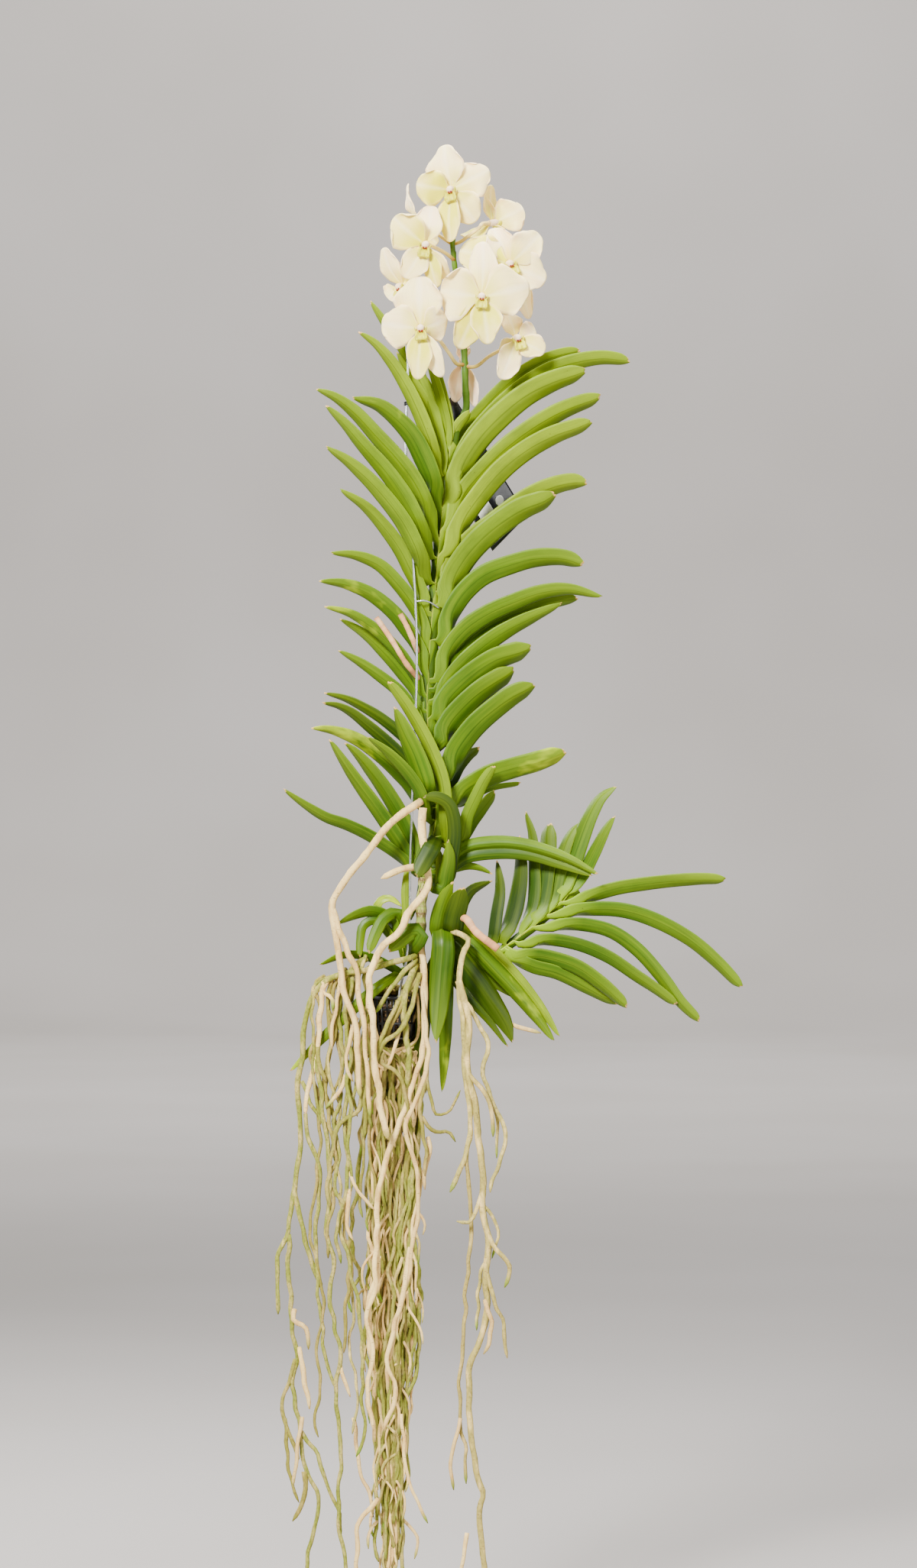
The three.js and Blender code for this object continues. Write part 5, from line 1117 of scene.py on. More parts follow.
def bark_chips(bm, draw, count=70):
    """Rough chips of bark heaped in the basket."""
    place, tint = tints(bm)
    for _ in range(count):
        level = draw.random()
        z = mix(-BASKET["height"] + 5, -11, level)
        room = mix(BASKET["foot"], BASKET["rim"] - 3, level) - 5
        turn, out = draw.uniform(0, 6.3), room * math.sqrt(draw.random())
        made = bmesh.ops.create_icosphere(bm, subdivisions=2, radius=1)
        placed = Matrix.Translation((BASKET["x"] + out * math.cos(turn),
                                     BASKET["y"] + out * math.sin(turn), BASKET["top"] + z))
        for axis in "XYZ":
            placed @= Matrix.Rotation(draw.uniform(0, 3.1), 4, axis)
        placed @= Matrix.Diagonal((draw.uniform(4, 7), draw.uniform(2.5, 4.5),
                                   draw.uniform(1.4, 3), 1))
        seed = draw.random() * 50
        for v in made["verts"]:
            v.co *= 1 + 0.35 * noise.noise(v.co * 1.7 + Vector((seed, 0, 0)))
            v[place] = (v.co.x * 0.003, v.co.y * 0.003, seed, 0)
            v[tint] = (draw.random(), 0, 0, 0)
        bmesh.ops.transform(bm, matrix=placed, verts=made["verts"])


# ---- materials --------------------------------------------------------------------------
MIX_SHARE, MIX_UNDER, MIX_OVER, MIX_COLOUR = 0, 6, 7, 2  # a Mix node's colour sockets


def add(tree, kind, inputs=None, output=0, **settings):
    """Adds a node with its settings, and its inputs as values or links. Gives one output."""
    node = tree.nodes.new(kind)
    for name, value in settings.items():
        setattr(node, name, value)
    for key, value in (inputs or {}).items():
        if isinstance(value, bpy.types.NodeSocket):
            tree.links.new(value, node.inputs[key])
        else:
            node.inputs[key].default_value = value
    return node.outputs[output]


def material(name, **surface):
    """A new material, its node tree and its shader, with the shader's fixed values set."""
    made = bpy.data.materials.new(name)
    made.use_nodes = True
    shader = next(n for n in made.node_tree.nodes if n.type == "BSDF_PRINCIPLED")
    for key, value in surface.items():
        shader.inputs[key.replace("_", " ")].default_value = value
    return made, made.node_tree, shader


def grown(tree):
    """What a grown piece's points carry: place, share of the length, and the look's four."""
    place, share, look, part = (
        add(tree, "ShaderNodeAttribute", None, output, attribute_name=layer)
        for layer, output in (("place", "Vector"), ("place", "Alpha"), ("look", "Color"),
                              ("look", "Alpha")))
    first, second, third = (add(tree, "ShaderNodeSeparateColor", {"Color": look}, output)
                            for output in ("Red", "Green", "Blue"))
    return place, share, first, second, third, part


def grain(tree, where, size, detail=2.0):
    """A pattern of soft patches, each about so many millimetres along the three axes."""
    scaled = add(tree, "ShaderNodeVectorMath", {0: where, 1: tuple(1 / (MM * s) for s in size)},
                 operation="MULTIPLY")
    return add(tree, "ShaderNodeTexNoise", {"Vector": scaled, "Scale": 1.0, "Detail": detail,
                                            "Roughness": 0.6}, "Fac")


def coats(tree, colour, *layers):
    """Lays colours over one another. A layer is its colour, its pattern, the pattern's values
    where it starts and where it is full, and how much it then covers."""
    for over, pattern, start, full, most in layers:
        share = add(tree, "ShaderNodeMapRange", {"Value": pattern, "From Min": start,
                                                 "From Max": full, "To Max": most})
        colour = add(tree, "ShaderNodeMix", {MIX_SHARE: share, MIX_UNDER: colour, MIX_OVER: over},
                     MIX_COLOUR, data_type="RGBA")
    return colour


def finish(tree, shader, colour, height=None, depth=0.1, rough=None):
    """Links the colour, a relief so many millimetres deep, and a roughness that varies."""
    tree.links.new(colour, shader.inputs["Base Color"])
    if height:
        bump = add(tree, "ShaderNodeBump", {"Height": height, "Distance": depth * MM})
        tree.links.new(bump, shader.inputs["Normal"])
    if rough:
        pattern, smoothest, roughest = rough
        varied = add(tree, "ShaderNodeMapRange", {
            "Value": pattern, "From Min": 0.3, "From Max": 0.7, "To Min": smoothest,
            "To Max": roughest})
        tree.links.new(varied, shader.inputs["Roughness"])


def rgba(colour, share=1.0):
    """A hex or linear colour with its alpha, darkened to a share of its light."""
    if isinstance(colour, str):
        colour = srgb(colour)
    return (*(c * share for c in colour), 1)


def leaf_blade(name, greens, sheen, pale):
    """Strap leaf: a waxy cuticle over fine parallel veins. It is mottled, paler where it clasps
    the stem, yellower as it ages, and has a thin dry rim at its tip. The half below its keel
    and the keel's crease carry painted shade."""
    light, body, shade, base = greens
    made, tree, shader = material(name, IOR=1.45, Specular_IOR_Level=0.15)
    place, share, tone, age, tip, across = grown(tree)
    mottle = grain(tree, place, (34, 12, 1), 3)
    veins = grain(tree, place, (90, 0.8, 1), 4)  # real veins are finer than the eye can see
    streaks = grain(tree, place, (120, 4, 1))
    # which side of the keel a point lies on, for the painted shade below it
    lower = add(tree, "ShaderNodeSeparateXYZ", {"Vector": place}, "Y")
    blade = add(tree, "ShaderNodeMath", {0: share, 1: 0.0}, operation="MAXIMUM")
    seam = add(tree, "ShaderNodeMath", {0: across, 1: blade}, operation="SUBTRACT")
    old = add(tree, "ShaderNodeMath", {0: age, 1: share}, operation="MULTIPLY")
    aged = add(tree, "ShaderNodeMath", {0: grain(tree, place, (30, 14, 1)), 1: old},
               operation="ADD")
    cells = add(tree, "ShaderNodeVectorMath", {0: place, 1: (60, 60, 1)}, operation="MULTIPLY")
    spots = add(tree, "ShaderNodeTexVoronoi", {"Vector": cells, "Scale": 1.0}, "Distance")
    withered = add(tree, "ShaderNodeMath", {0: tip, 1: mottle}, operation="ADD")
    colour = coats(
        tree, rgba(light),
        (rgba(body), tone, 0.0, 0.45, 1),
        (rgba(shade), tone, 0.45, 1.0, 1),
        (rgba(shade), mottle, 0.4, 0.75, 0.4),
        (rgba(light), streaks, 0.42, 0.68, 0.3),
        (rgba(shade, 0.7), veins, 0.45, 0.66, 0.18),
        (rgba(light), share, 0.45, 0.95, 0.4),
        (rgba(base), share, 0.24, 0.0, pale),
        (rgba("#202c04"), tone, 0.8, 1.0, 0.55),  # darker still where the tone is deepest
        (rgba(shade), lower, 0.0004, 0.005, 0.34),  # painted shade on the half below the keel
        (rgba(shade, 0.7), across, 0.08, 0.0, 0.5),  # painted shade along the keel's crease
        (rgba("#c6bc4a"), seam, 0.94, 0.99, 0.45),
        (rgba(base), across, 0.93, 1.0, 0.25),
        (rgba("#a4b606"), aged, 0.82, 1.15, 0.9),
        (rgba("#3c3a10"), spots, 0.055, 0.03, 0.7),
        (rgba("#c79a5c"), withered, 1.32, 1.5, 0.9))
    finish(tree, shader, colour, veins, 0.1, (mottle, sheen, sheen + 0.16))
    return made


def petal_skin(name, petal, blush, throat):
    """Petal: thin, satin and finely veined. It lets light through, blushes at its margin and
    turns yellow-green towards the column."""
    made, tree, shader = material(
        name, Roughness=0.55, IOR=1.4, Specular_IOR_Level=0.35, Subsurface_Weight=0.25,
        Subsurface_Radius=(1.0, 0.7, 0.3), Subsurface_Scale=0.003)
    place, _, yellow, base, across, part = grown(tree)
    veins = grain(tree, place, (40, 0.9, 1), 3)
    clouds = grain(tree, place, (22, 9, 1))
    tint = add(tree, "ShaderNodeMath", {0: clouds, 1: base, 2: -0.5}, operation="ADD")
    greenish = add(tree, "ShaderNodeMath", {0: yellow, 1: tint}, operation="MULTIPLY")
    colour = coats(
        tree, rgba(petal),
        (rgba(blush), clouds, 0.38, 0.7, 0.7),
        (rgba(petal, 0.8), veins, 0.45, 0.68, 0.3),
        (rgba(throat), greenish, 0.0, 0.9, 0.95),
        (rgba(throat), base, 0.5, 1.0, 0.7),
        (rgba("#fff4e0"), across, 0.2, 0.0, 0.25),  # the midrib
        (rgba(blush), across, 0.8, 1.0, 0.5),
        (rgba("#f3d3b0"), part, 0.35, 0.45, 1),  # the column
        (rgba("#7a1f10"), part, 0.75, 0.85, 1))  # the specks under its cap
    finish(tree, shader, colour, veins, 0.08, (clouds, 0.5, 0.62))
    return made


def lip_skin(lip_colour, throat):
    """Lip: thicker and waxier than a petal, yellow-green, with an orange throat and a few
    brown flecks."""
    made, tree, shader = material(
        "lip, waxy", Roughness=0.42, IOR=1.42, Subsurface_Weight=0.12,
        Subsurface_Radius=(1.0, 0.8, 0.2), Subsurface_Scale=0.002)
    place, _, _, base, _, part = grown(tree)
    clouds = grain(tree, place, (3.6, 2, 1))
    flecks = grain(tree, place, (1.2, 1.2, 1))
    colour = coats(
        tree, rgba(lip_colour),
        (rgba(throat), clouds, 0.42, 0.7, 0.7),
        (rgba("#f4b840"), base, 0.72, 1.0, 0.8),
        (rgba("#fbe9b0"), part, 0.2, 0.3, 0.8),
        (rgba("#9a4a18"), flecks, 0.66, 0.7, 0.6))
    finish(tree, shader, colour, clouds, 0.2)
    return made


def stalk_skin(stalk):
    """Flower stalk: smooth and green. Its pedicels pale towards their blooms and brown at
    their joints."""
    made, tree, shader = material("stalk, smooth", Roughness=0.5, IOR=1.45, Specular_IOR_Level=0.3)
    place, _, _, pedicel, along, _ = grown(tree)
    streaks = grain(tree, place, (25, 1.1, 1), 3)
    pale = coats(tree, rgba("#a8902c"), (rgba("#f6dc8c"), along, 0.05, 0.7, 1),
                 (rgba("#7a4016"), along, 0.14, 0.0, 0.9))
    colour = coats(tree, rgba(stalk), (rgba("#5a7c0c"), streaks, 0.4, 0.7, 0.6),
                   (pale, pedicel, 0.5, 0.9, 1))
    finish(tree, shader, colour, streaks, 0.2)
    return made


def root_skin(name, dry, shade, moist):
    """Aerial root: spongy velamen, chalky and pale where it is dry, olive where it is moist or
    old, scarred across, with a few smooth green tips."""
    made, tree, shader = material(name, Roughness=0.8, IOR=1.4, Specular_IOR_Level=0.3)
    _, _, tone, wet, tip, _ = grown(tree)
    where = add(tree, "ShaderNodeTexCoord", None, "Object")
    fine = grain(tree, where, (2, 2, 3.5), 4)
    patches = grain(tree, where, (9, 9, 22), 3)
    scars = grain(tree, where, (5, 5, 1.2))
    soaked = add(tree, "ShaderNodeMath", {0: wet, 1: patches}, operation="ADD")
    olive = coats(tree, rgba(moist), (rgba(dry, 0.7), patches, 0.46, 0.66, 0.6),
                  (rgba(moist, 0.35), fine, 0.46, 0.7, 0.7))
    colour = coats(
        tree, rgba(dry),
        (rgba(shade), patches, 0.4, 0.66, 0.85),
        (rgba(dry), fine, 0.4, 0.66, 0.5),
        (olive, soaked, 0.75, 1.1, 1),
        (rgba(shade, 0.3), scars, 0.62, 0.72, 0.75),
        (rgba("#6f8f1c"), tip, 0.2, 0.9, 1),
        (rgba(shade, 0.5), tone, 0.3, 1.0, 0.4))
    finish(tree, shader, colour, fine, 0.5)
    return made


def old_stem_skin():
    """Old stem: corky, grey-brown and olive, ringed where its leaves have dropped."""
    made, tree, shader = material("old stem, corky", Roughness=0.85, IOR=1.4)
    where = add(tree, "ShaderNodeTexCoord", None, "Object")
    rings = grain(tree, grown(tree)[0], (6, 250, 1))
    fine = grain(tree, where, (2, 2, 5), 3)
    colour = coats(tree, rgba("#7c8a2e"), (rgba("#5a4420"), rings, 0.42, 0.6, 1),
                   (rgba("#c9b27a"), fine, 0.5, 0.68, 0.7))
    finish(tree, shader, colour, rings, 0.8)
    return made


def dry_tissue():
    """Dry stalk: papery straw, split lengthwise, browner at its cut end."""
    made, tree, shader = material("dry stalk, papery", Roughness=0.8, IOR=1.4)
    place, share = grown(tree)[:2]
    splits = grain(tree, place, (30, 0.6, 1), 3)
    patches = grain(tree, place, (12, 5, 1), 3)
    colour = coats(tree, rgba("#c48a58"), (rgba("#8a5c38"), patches, 0.45, 0.7, 1),
                   (rgba("#e6c294"), splits, 0.45, 0.65, 0.5),
                   (rgba("#8a5026"), share, 0.05, 0.0, 0.8))
    finish(tree, shader, colour, splits, 0.5)
    return made


def mottled(name, under, over, patches, reach, relief=None, depth=0.1, rough=None, **surface):
    """A plain material: one colour over another in patches, a fine relief, and a roughness that
    varies with the patches. Both patterns are given as grain takes them."""
    made, tree, shader = material(name, **surface)
    where = add(tree, "ShaderNodeTexCoord", None, "Object")
    spread = grain(tree, where, *patches)
    colour = coats(tree, rgba(under), (rgba(over), spread, *reach))
    height = grain(tree, where, *relief) if relief else None
    finish(tree, shader, colour, height, depth, (spread, *rough) if rough else None)
    return made


def galvanised_wire():
    """Galvanised steel wire: drawn lengthwise, satin and a little dulled."""
    return mottled("steel wire, galvanised", "#cfd1d3", "#9a9ea1", ((6, 6, 11),), (0.35, 0.7, 1),
                   ((0.5, 0.5, 16),), 0.05, (0.26, 0.46), Metallic=1.0)


def black_plastic(name, smoothest, grit):
    """Black polypropylene: moulded, finely grained, with a little dust on it."""
    return mottled(name, "#0e0e10", "#2c2a28", ((14, 14, 14), 3), (0.5, 0.8, 0.6),
                   ((grit, grit, grit),), 0.05, (smoothest, smoothest + 0.14), IOR=1.49)


def label_stock():
    """Label: bare white coated paper, a little soiled."""
    return mottled("label paper, coated", "#f2eeea", "#b5aaa2", ((3, 3, 3), 3), (0.55, 0.75, 0.5),
                   ((0.4, 0.4, 0.4),), 0.05, (0.45, 0.7), IOR=1.5)


def bark_skin():
    """Pine bark: rough, layered and dark, with paler broken edges."""
    layers = (6, 6, 1.4), 4
    return mottled("pine bark, rough", "#241a12", "#8a6a42", layers, (0.44, 0.68, 1), layers, 1.0,
                   Roughness=0.92, IOR=1.4)


def pale_floor():
    """The floor and its backdrop: plain, pale and matt."""
    return mottled("floor, matt", "#9d9894", "#97928d", ((1200, 1200, 1200),), (0.3, 0.7, 1),
                   Roughness=0.95, IOR=1.3)


# ---- what a user may change -------------------------------------------------------------
USUAL_DISTANCE = 4.5


def length(label, about, default, low, high):
    """A length a user may set, in metres."""
    return FloatProperty(name=label, description=about, default=default, min=low, max=high,
                         unit="LENGTH", precision=4)


def colour(label, about, code):
    """A colour a user may set."""
    return FloatVectorProperty(name=label, description=about, default=srgb(code), size=3,
                               subtype="COLOR", min=0, max=1)


class OrchidLeaves(bpy.types.PropertyGroup):
    """Sizes and colours of the leaves."""

    thickness: length("Thickness", "Thickness of a strap leaf", 0.0014, 0.0005, 0.003)
    light: colour("Light green", "Leaves in full light", "#738708")
    green: colour("Green", "Most leaves", "#3f5f03")
    shade: colour("Deep green", "Leaves low on a stem", "#173003")
    base: colour("Base", "Where a leaf clasps the stem", "#819f0d")


class OrchidBlooms(bpy.types.PropertyGroup):
    """Sizes and colours of the blooms."""

    thickness: length("Petal thickness", "Thickness of a sepal or petal", 0.0008, 0.0003, 0.002)
    petal: colour("Petals", "Sepals and petals", "#ffe4a4")
    blush: colour("Petal margins", "The margin's blush", "#ffd8b6")
    throat: colour("Petal bases", "Where a petal leaves the column", "#d4cc24")
    lip: colour("Lips", "The lip and its side lobes", "#bcb818")
    stalk: colour("Stalk", "The flower stalk", "#375405")


class OrchidRoots(bpy.types.PropertyGroup):
    """Number and colours of the roots."""

    count: IntProperty(name="Bundle", description="Roots that hang below the basket",
                       default=84, min=10, max=120)
    dry: colour("Dry roots", "Dry velamen", "#eaca80")
    shade: colour("Root shade", "Older, darker velamen", "#b88a4a")
    moist: colour("Moist roots", "Velamen that has taken up water", "#7c8028")


class OrchidHanger(bpy.types.PropertyGroup):
    """Sizes of the hanger and the card."""

    wire_radius: length("Wire radius", "Half the hanger wire's thickness", 0.0012, 0.0005, 0.002)
    card_thickness: length("Card thickness", "Thickness of the folded card", 0.0011, 0.0003, 0.002)


class OrchidStage(bpy.types.PropertyGroup):
    """The camera and the light."""

    camera_distance: length("Camera distance", "From the camera to the hanger", USUAL_DISTANCE,
                            1, 20)
    key_power: FloatProperty(name="Key light", description="Power of the key light",
                             default=590, min=0, max=1000, unit="POWER")


# ---- operators --------------------------------------------------------------------------
FLOOR_Z, FLOOR_END = -1.45, 12
COVE_RUN, COVE_RADIUS = 3, 2  # behind its end the floor curves up into the backdrop
FLOOR_HALF_WIDTH, FLOOR_HALF_LENGTH, FLOOR_MIDDLE = 15, 17, 5
# Each light's place, the point it is aimed at, its size and its share of the key's power.
LIGHTS = {
    "key": ((-1.3, -3.2, 1.5), (0.0, 0.0, -0.5), 0.9, 1),
    "fill": ((2.6, -2.6, 0.2), (0.05, 0.0, -0.6), 2.2, 0.15),
    "top": ((0.3, 0.3, 1.9), (0.05, 0.0, -0.5), 1.4, 0.3),
    "back": ((-1.6, 1.5, 0.4), (0.0, 0.0, -0.6), 1.2, 0.15),
    "backdrop": ((0.0, 7.5, 6.0), (0.0, 14.0, 0.0), 5.0, 2.8),
}
SKY, SKY_STRENGTH = (0.93, 0.95, 1, 1), 0.44
SENSOR, LENS = 36, 98.6  # millimetres, the lens for the usual distance
VIEW_X, VIEW_Z = 0.048, -0.501


class MakeStage(bpy.types.Operator):
    """Adds the floor, the lights and the camera."""

    bl_idname = "orchid.stage"
    bl_label = "Stage"

    def execute(self, context):
        look = context.scene.orchid_stage
        bm = bmesh.new()
        made = bmesh.ops.create_grid(bm, x_segments=1, y_segments=68, size=1)
        for v in made["verts"]:
            run = v.co.y * FLOOR_HALF_LENGTH + FLOOR_MIDDLE
            turn = clamp((run - FLOOR_END) / COVE_RUN) * math.pi / 2
            beyond = max(0, run - FLOOR_END - COVE_RUN)
            v.co = (v.co.x * FLOOR_HALF_WIDTH, min(run, FLOOR_END) + COVE_RADIUS * math.sin(turn),
                    FLOOR_Z + COVE_RADIUS * (1 - math.cos(turn)) + beyond)
        floor = bpy.data.meshes.new("floor")
        bm.to_mesh(floor)
        bm.free()
        floor.shade_smooth()
        floor.materials.append(pale_floor())
        ground = bpy.data.objects.new("floor", floor)
        context.scene.collection.objects.link(ground)
        for name, (place, aim, size, share) in LIGHTS.items():
            lamp = bpy.data.lights.new(name, "AREA")
            lamp.size, lamp.energy = size, look.key_power * share
            holder = bpy.data.objects.new(name, lamp)
            holder.location = place
            beam = Vector(aim) - Vector(place)
            holder.rotation_euler = beam.to_track_quat("-Z", "Y").to_euler()
            context.scene.collection.objects.link(holder)
        world = bpy.data.worlds.new("studio")
        context.scene.world = world
        world.use_nodes = True
        sky = next(n for n in world.node_tree.nodes if n.type == "BACKGROUND")
        sky.inputs["Color"].default_value = SKY
        sky.inputs["Strength"].default_value = SKY_STRENGTH
        lens = bpy.data.cameras.new("camera")
        lens.sensor_width, lens.lens = SENSOR, LENS * look.camera_distance / USUAL_DISTANCE
        camera = bpy.data.objects.new("camera", lens)
        camera.location = (VIEW_X, -look.camera_distance, VIEW_Z)
        camera.rotation_euler = (math.radians(90), 0, 0)
        context.scene.collection.objects.link(camera)
        context.scene.camera = camera
        return {"FINISHED"}


# Each shoot's name, stem from its tip down, that stem's radius, its leaves, the part it
# replaces, its slot, its age and the tones of its highest and lowest leaf.
SHOOTS = [
    ("tall_fan", MAIN_STEM, 7.5, MAIN_LEAVES_RIGHT + MAIN_LEAVES_LEFT + MAIN_LEAVES_FRONT,
     "main_shoot", "leaf", 0, (0.0, 0.7)),
    ("right_fan", RIGHT_STEM[::-1], 4.6, RIGHT_LEAVES, "right_shoot", "young_leaf", 0, (0.4, 0.8)),
    ("lower_fan", LOWER_STEM[::-1], 5, LOWER_LEAVES, "lower_shoot", "deep_leaf", 0, (0.9, 1.0)),
    ("left_fan", LEFT_STEM[::-1], 3.8, LEFT_LEAVES, "left_shoot", "deep_leaf", 0.12, (0.5, 0.7)),
]
LEAF_SEED, BLOOM_SEED, LIP_SEED, ROOT_SEED, BARK_SEED = 31, 400, 700, 5, 9


class MakeLeaves(bpy.types.Operator):
    """Adds the four leafy shoots."""

    bl_idname = "orchid.leaves"
    bl_label = "Leaves"

    def execute(self, context):
        look = context.scene.orchid_leaves
        greens = look.light, look.green, look.shade, look.base
        skins = {"leaf": leaf_blade("leaf, waxy", greens, 0.4, 0.06),
                 "young_leaf": leaf_blade("leaf, young", greens, 0.4, 0.9),
                 "deep_leaf": leaf_blade("leaf, glossy", greens, 0.28, 0.2)}
        for k, (name, stem, radius, leaves, node, slot, age, tones) in enumerate(SHOOTS):
            bm = blank()
            shoot(bm, stem, radius, leaves, LEAF_SEED + k, age, tones)
            piece(name, bm, skins[slot], slot, node, wall=look.thickness)
        return {"FINISHED"}


class MakeBlooms(bpy.types.Operator):
    """Adds the ten blooms and their lips."""

    bl_idname = "orchid.blooms"
    bl_label = "Blooms"

    def execute(self, context):
        look = context.scene.orchid_blooms
        fresh = petal_skin("petal, satin", look.petal, look.blush, look.throat)
        # a darker copy of the petal colours: partly fading, partly painted shade behind the stalk
        faded_and_shaded = petal_skin("petal, fading and shaded", srgb("#ecc8a2"), srgb("#f6dcc0"), srgb("#dcb088"))
        lips = lip_skin(look.lip, look.throat)
        for k, row in enumerate(BLOOMS, 1):
            bm = blank()
            bloom(bm, row, BLOOM_SEED + k)
            column(bm, row)
            piece(f"bloom_{k}_tepals", bm, faded_and_shaded if k == SHADED_FADED_BLOOM else fresh, "petal",
                  f"bloom_{k}", wall=look.thickness)
            bm = blank()
            lip(bm, row, LIP_SEED + k)
            piece(f"bloom_{k}_lip", bm, lips, "lip", f"lip_{k}", wall=look.thickness)
        return {"FINISHED"}


class MakeStalk(bpy.types.Operator):
    """Adds the flower stalk and its pedicels."""

    bl_idname = "orchid.stalk"
    bl_label = "Flower stalk"

    def execute(self, context):
        bm = blank()
        flower_stalk(bm)
        piece("stalk_and_pedicels", bm, stalk_skin(context.scene.orchid_blooms.stalk), "stalk",
              "flower_stalk")
        return {"FINISHED"}


# The roots that stand alone: each piece's name, its roots, the part it replaces and how moist
# they are.
SINGLE_ROOTS = [
    ("root_left", LEFT_FRONT_ROOT, "front_root_left", 0.22),
    ("root_middle", MIDDLE_FRONT_ROOT, "front_root_middle", 0.22),
    ("root_short", SHORT_ROOT, "short_root", 0.0),
    ("roots_right", RIGHT_ROOTS, "right_roots", 0.5),
    ("root_side", SIDE_ROOT, "side_root", 0.0),
]
OLD_STEM_RADIUS = 5.6
CURTAIN_COUNT, BRANCH_CHANCE = 10, 0.16
MOIST_SHARE, MOIST = 0.7, 0.85  # how many of the bundle's roots are moist, and how moist


class MakeRoots(bpy.types.Operator):
    """Adds the old stem and every root."""

    bl_idname = "orchid.roots"
    bl_label = "Roots"

    def execute(self, context):
        look = context.scene.orchid_roots
        skin = root_skin("velamen, spongy", look.dry, look.shade, look.moist)
        draw = Random(ROOT_SEED)
        bm = blank()
        stem = Line(route(OLD_STEM_PATH))
        sweep(bm, stem, lambda s: OLD_STEM_RADIUS * (1 + 0.1 * math.sin(
            s * stem.length * 0.4)), 14, 60)
        piece("old_stem", bm, old_stem_skin(), "old_stem")
        bm = blank()
        for k, (radius, path) in enumerate(STEM_ROOTS):
            root(bm, radius, path, draw, green=0.1 if k in DRY_ROOTS else draw.uniform(0.6, 0.9),
                 tip=0.6 * draw.random())
        for wet, radius, path in LOOSE_ROOTS:
            root(bm, 1.1 * radius, path, draw, green=0.7 * wet, tip=0.9 * draw.random())
        for radius, path in curtain(draw, CURTAIN_COUNT):
            root(bm, radius, path, draw, green=draw.uniform(0.5, 0.9), tip=0.9 * draw.random())
        piece("hanging_roots", bm, skin, "root", "old_stem_roots")
        bm = blank()
        for radius, path in bundle(draw, look.count):
            wet = MOIST if draw.random() < MOIST_SHARE else 0.0
            root(bm, radius, path, draw, green=wet, tip=0.6 * draw.random())
            for side_root in branches(path, draw, BRANCH_CHANCE):
                root(bm, 0.75 * radius, side_root, draw, green=wet * draw.random(),
                     tip=draw.random())
        piece("root_bundle", bm, skin, "root")
        for name, rows, node, green in SINGLE_ROOTS:
            bm = blank()
            for radius, path in rows:
                root(bm, radius, path, draw, green=green, tip=0.8 * draw.random())
            piece(name, bm, skin, "root", node)
        return {"FINISHED"}


class MakeDryStalks(bpy.types.Operator):
    """Adds the cut and dried flower stalks."""

    bl_idname = "orchid.dry_stalks"
    bl_label = "Dry stalks"

    def execute(self, context):
        skin = dry_tissue()
        for k, (name, (radius, path), node) in enumerate(DRY_STALKS):
            line = Line(route(path))

            def girth(s):
                where = Vector((s * line.length / 7, 7.3 * k, 0))
                return radius * (1 + 0.12 * noise.noise(where))

            bm = blank()
            sweep(bm, line, girth, 12, 24)
            piece(name, bm, skin, "straw", node)
        return {"FINISHED"}


class MakeHanger(bpy.types.Operator):
    """Adds the wire hanger, the ring that holds the stem to it, and the card's tie."""

    bl_idname = "orchid.hanger"
    bl_label = "Hanger"

    def execute(self, context):
        steel = galvanised_wire()
        thick = context.scene.orchid_hanger.wire_radius / MM
        bm = blank()
        sweep(bm, hanger_line(), lambda s: thick, 12, 420)
        piece("wire", bm, steel, "wire", "hanger_hook", "hanger_wire")
        bm = blank()
        sweep(bm, Line([Vector(p) for p in RING_PATH]), lambda s: RING_RADIUS, 10, 40)
        piece("wire_ring", bm, steel, "wire", "stem_ring")
        bm = blank()
        sweep(bm, Line([Vector(p) for p in TIE_PATH]), lambda s: TIE_RADIUS, 10, 30)
        coil = [Vector((COIL_X + COIL_REACH * math.cos(COIL_TURN * k),
                        COIL_REACH * math.sin(COIL_TURN * k), COIL_Z + COIL_RISE * k))
                for k in range(COIL_STEPS)]
        sweep(bm, Line(coil), lambda s: COIL_RADIUS, 8, 80)
        piece("tie", bm, black_plastic("tie wire, coated", 0.45, 1.1), "plastic", "card_tie")
        return {"FINISHED"}


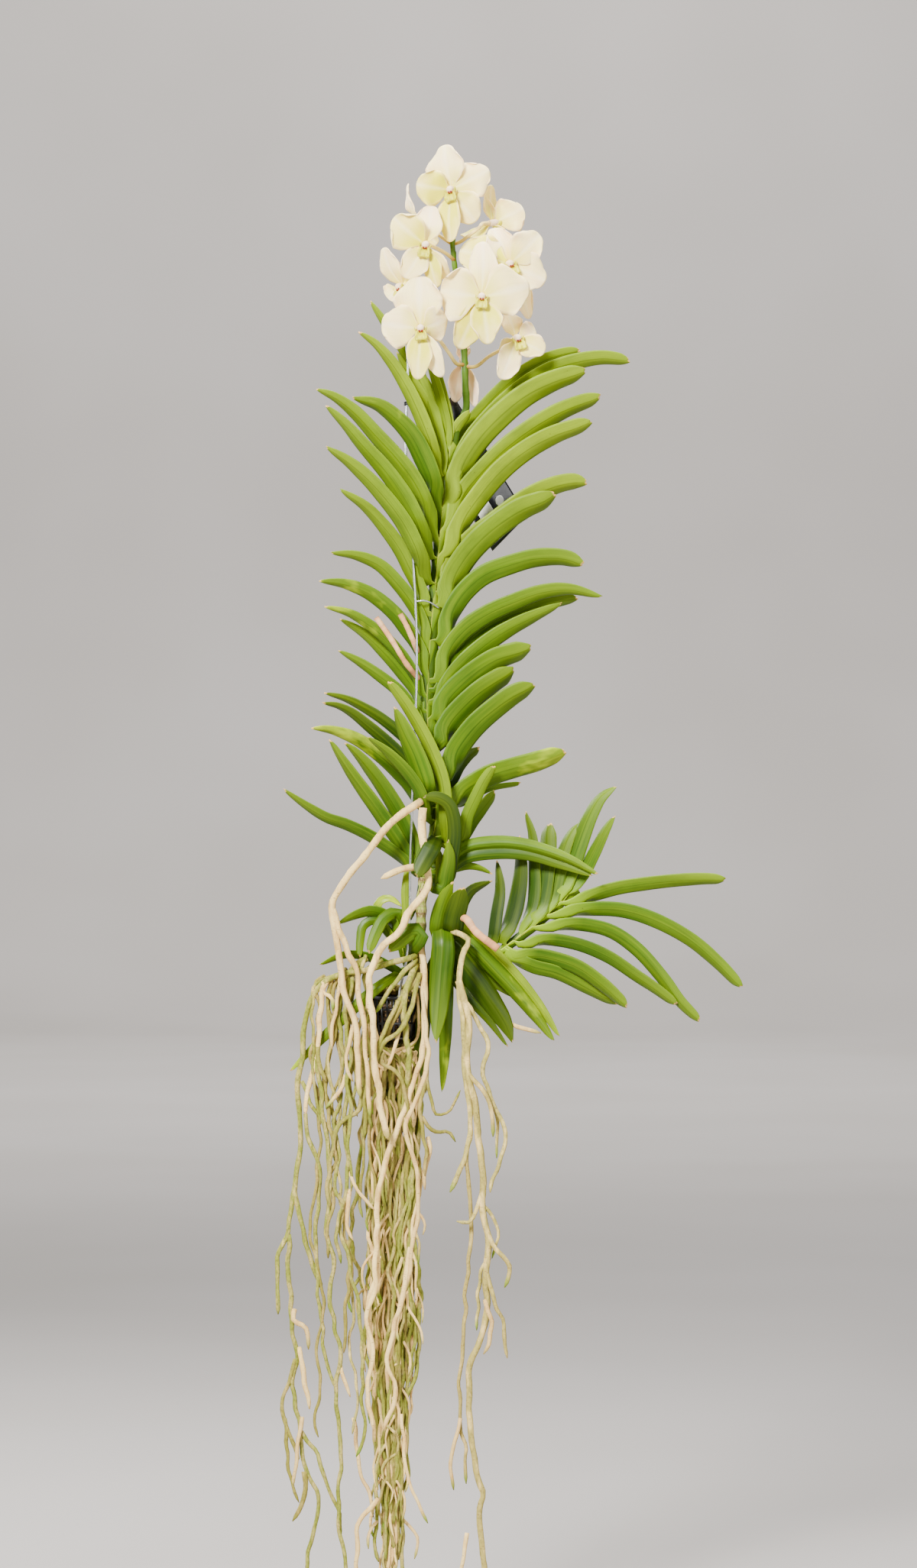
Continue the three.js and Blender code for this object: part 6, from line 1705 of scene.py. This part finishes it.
class MakeCard(bpy.types.Operator):
    """Adds the folded card and its two bare stickers."""

    bl_idname = "orchid.card"
    bl_label = "Card"

    def execute(self, context):
        def card_at(along, side):
            down, across = along * CARD_LENGTH, side * CARD_WIDTH / 2
            place = (down * MM, across * MM, 0, along)
            return card_point(down, across), place, (0.5, 0, 0, abs(side))

        bm = blank()
        sheet(bm, 40, 24, card_at)
        piece("card", bm, black_plastic("card, gloss black", 0.14, 2.5), "card", "label_card",
              wall=context.scene.orchid_hanger.card_thickness)
        paper = label_stock()
        for name, node, down, across, tall, wide, is_round in STICKERS:
            def sticker_at(along, side):
                a, b = 2 * along - 1, side
                if is_round:
                    a, b = a * math.sqrt(1 - b * b / 2), b * math.sqrt(1 - a * a / 2)
                point = card_point(down + a * tall, across + b * wide, STICKER_LIFT)
                return point, (0, 0, 0, 0), (0.5, 0, 0, 0)

            bm = blank()
            sheet(bm, 10, 10, sticker_at)
            piece(name, bm, paper, "sticker", node, wall=STICKER_WALL)
        return {"FINISHED"}


class MakeBasket(bpy.types.Operator):
    """Adds the net basket and the bark in it."""

    bl_idname = "orchid.basket"
    bl_label = "Basket"

    def execute(self, context):
        bm = blank()
        net_basket(bm)
        piece("net_basket", bm, black_plastic("basket, moulded black", 0.3, 1.4), "plastic",
              "basket")
        bm = blank()
        bark_chips(bm, Random(BARK_SEED))
        piece("bark", bm, bark_skin(), "bark", "bark_plug")
        return {"FINISHED"}


class OrchidPanel(bpy.types.Panel):
    """Lists the orchid's pieces and their settings."""

    bl_idname = "VIEW3D_PT_orchid"
    bl_label = "Orchid"
    bl_space_type = "VIEW_3D"
    bl_region_type = "UI"
    bl_category = "Orchid"

    def draw(self, context):
        """Draws a box for each group of settings, and a button for each operator."""
        for group, names in SETTINGS.items():
            box = self.layout.box()
            for name in names:
                box.prop(getattr(context.scene, group), name)
        for operator in OPERATORS:
            self.layout.operator(operator.bl_idname)


OPERATORS = [MakeStage, MakeHanger, MakeCard, MakeBasket, MakeLeaves, MakeStalk, MakeBlooms,
             MakeRoots, MakeDryStalks]
GROUPS = {"orchid_leaves": OrchidLeaves, "orchid_blooms": OrchidBlooms,
          "orchid_roots": OrchidRoots, "orchid_hanger": OrchidHanger, "orchid_stage": OrchidStage}
SETTINGS = {name: list(group.__annotations__) for name, group in GROUPS.items()}


def register():
    """Registers the settings, the operators and the panel."""
    for part in [*GROUPS.values(), *OPERATORS, OrchidPanel]:
        bpy.utils.register_class(part)
    for name, group in GROUPS.items():
        setattr(bpy.types.Scene, name, PointerProperty(type=group))


def unregister():
    """Takes back what register did."""
    for name in GROUPS:
        delattr(bpy.types.Scene, name)
    for part in [OrchidPanel, *reversed(OPERATORS), *reversed(list(GROUPS.values()))]:
        bpy.utils.unregister_class(part)


def main():
    """Makes the whole orchid."""
    register()
    for operator in OPERATORS:
        group, name = operator.bl_idname.split(".")
        getattr(getattr(bpy.ops, group), name)()


if __name__ == "__main__":
    main()
